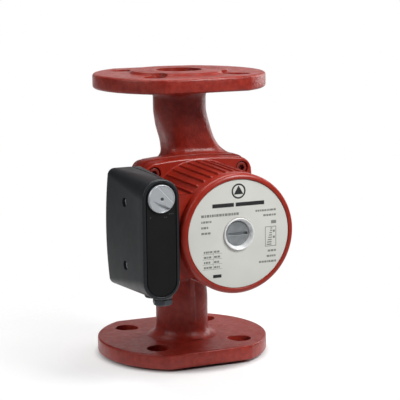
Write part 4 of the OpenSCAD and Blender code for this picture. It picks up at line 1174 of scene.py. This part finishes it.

# %% [markdown]
# ## The studio
# The floor is a pale disc that fades away. Past the flange it also glows, a painted light that washes
# out most of the contact shadow; under the flange it doesn't glow, so the bolt holes stay dark. The
# room is white to the eye, but the light it sends is shaped: bright above and at the sides, dark
# from where the camera stands. A wide soft box hangs overhead and draws the bright top edges.

# %% Floor and light
floor_material, tree, place, output = new_material("pale_floor_glowing_past_the_flange_faded_at_the_rim")
middle = add(tree, "ShaderNodeVectorMath", {0: place}, operation="LENGTH")
fade = add(tree, "ShaderNodeMapRange", {"Value": middle.outputs["Value"], "From Min": 0.10, "From Max": 0.24})
white = add(tree, "ShaderNodeBsdfDiffuse", {"Color": linear("#c8c8c8")})
# painted light: from 68 mm to 80 mm out the floor starts to glow, washing out the contact shadow; inside that,
# under the flange, it has no glow, so the bolt holes stay dark
glow_strength = add(tree, "ShaderNodeMapRange", {"Value": middle.outputs["Value"], "From Min": 0.068, "From Max": 0.08,
                                       "To Min": 0.0, "To Max": 0.48}).outputs[0]
glow = add(tree, "ShaderNodeEmission", {"Color": linear("#ffffff"), "Strength": glow_strength})
pale = add(tree, "ShaderNodeAddShader", {0: white.outputs[0], 1: glow.outputs[0]})
clear = add(tree, "ShaderNodeBsdfTransparent")
mix = add(tree, "ShaderNodeMixShader", {0: fade.outputs[0], 1: pale.outputs[0], 2: clear.outputs[0]})
tree.links.new(mix.outputs[0], output.inputs["Surface"])
t = np.linspace(0, 2 * np.pi, 96, endpoint=False)
floor_points = np.stack([0.45 * np.cos(t), 0.45 * np.sin(t), np.full(96, -0.0003)], -1)
floor_mesh = bpy.data.meshes.new("floor")
floor_mesh.from_pydata(floor_points.tolist(), [], [list(range(96))])
floor_mesh.materials.append(floor_material)
floor = bpy.data.objects.new("floor", floor_mesh)
bpy.context.scene.collection.objects.link(floor)

world = bpy.data.worlds.new("studio")
bpy.context.scene.world = world
world.use_nodes = True
sky = world.node_tree
sky.nodes.clear()
ray = add(sky, "ShaderNodeTexCoord").outputs["Generated"]
facing = add(sky, "ShaderNodeVectorMath", {0: ray, 1: tuple(back)}, operation="DOT_PRODUCT").outputs["Value"]
dim = add(sky, "ShaderNodeMapRange", {"Value": facing, "From Min": -0.99, "From Max": -0.76,
                                     "To Min": 1.0, "To Max": 0.12},
          interpolation_type="SMOOTHSTEP").outputs[0]
height_ = add(sky, "ShaderNodeSeparateXYZ", {"Vector": ray}).outputs["Z"]
table = add(sky, "ShaderNodeMapRange", {"Value": height_, "From Min": -0.08, "From Max": -0.4,
                                       "To Min": 0.0, "To Max": 0.5}).outputs[0]
low_band = add(sky, "ShaderNodeMapRange", {"Value": height_, "From Min": 0.1, "From Max": 0.3,
                                          "To Min": 1.0, "To Max": 0.4}).outputs[0]
wall = add(sky, "ShaderNodeMath", {0: dim, 1: low_band}, operation="MULTIPLY").outputs[0]
power = add(sky, "ShaderNodeMath", {0: wall, 1: table}, operation="ADD").outputs[0]
room = add(sky, "ShaderNodeBackground", {"Color": linear("#ffffff"), "Strength": power})
seen = add(sky, "ShaderNodeBackground", {"Color": linear("#ffffff"), "Strength": 1.0})
eye = add(sky, "ShaderNodeLightPath").outputs["Is Camera Ray"]
both = add(sky, "ShaderNodeMixShader", {0: eye, 1: room.outputs[0], 2: seen.outputs[0]})
sky_out = add(sky, "ShaderNodeOutputWorld")
sky.links.new(both.outputs[0], sky_out.inputs["Surface"])


def soft_box(name, spot, aim, width, tall, power):
    """A rectangular soft light at a spot, in metres, turned towards an aim."""
    lamp = bpy.data.objects.new(name, bpy.data.lights.new(name, "AREA"))
    lamp.data.shape = "RECTANGLE"
    lamp.data.size, lamp.data.size_y, lamp.data.energy = width, tall, power
    bpy.context.scene.collection.objects.link(lamp)
    lamp.location = spot
    lamp.rotation_euler = (Vector(aim) - Vector(spot)).to_track_quat("-Z", "Y").to_euler()


CENTRE = Vector((0, -0.05, 0.13))


def from_bearing(side, rise, distance):
    """A spot seen from the pump at degrees to the right of the motor's axis, and at a rise."""
    a, e = math.radians(side), math.radians(rise)
    return CENTRE + distance * Vector((math.sin(a) * math.cos(e), -math.cos(a) * math.cos(e), math.sin(e)))


soft_box("key_soft_box", from_bearing(30, 44, 0.85), CENTRE, 0.36, 0.36, 7.2)
soft_box("overhead_soft_box", from_bearing(180, 72, 1.1), CENTRE, 0.9, 0.6, 8)
soft_box("right_soft_box", from_bearing(115, 18, 1.2), CENTRE, 0.3, 0.9, 4)
soft_box("left_soft_box", from_bearing(-85, 30, 1.2), CENTRE, 0.4, 0.6, 3.4)
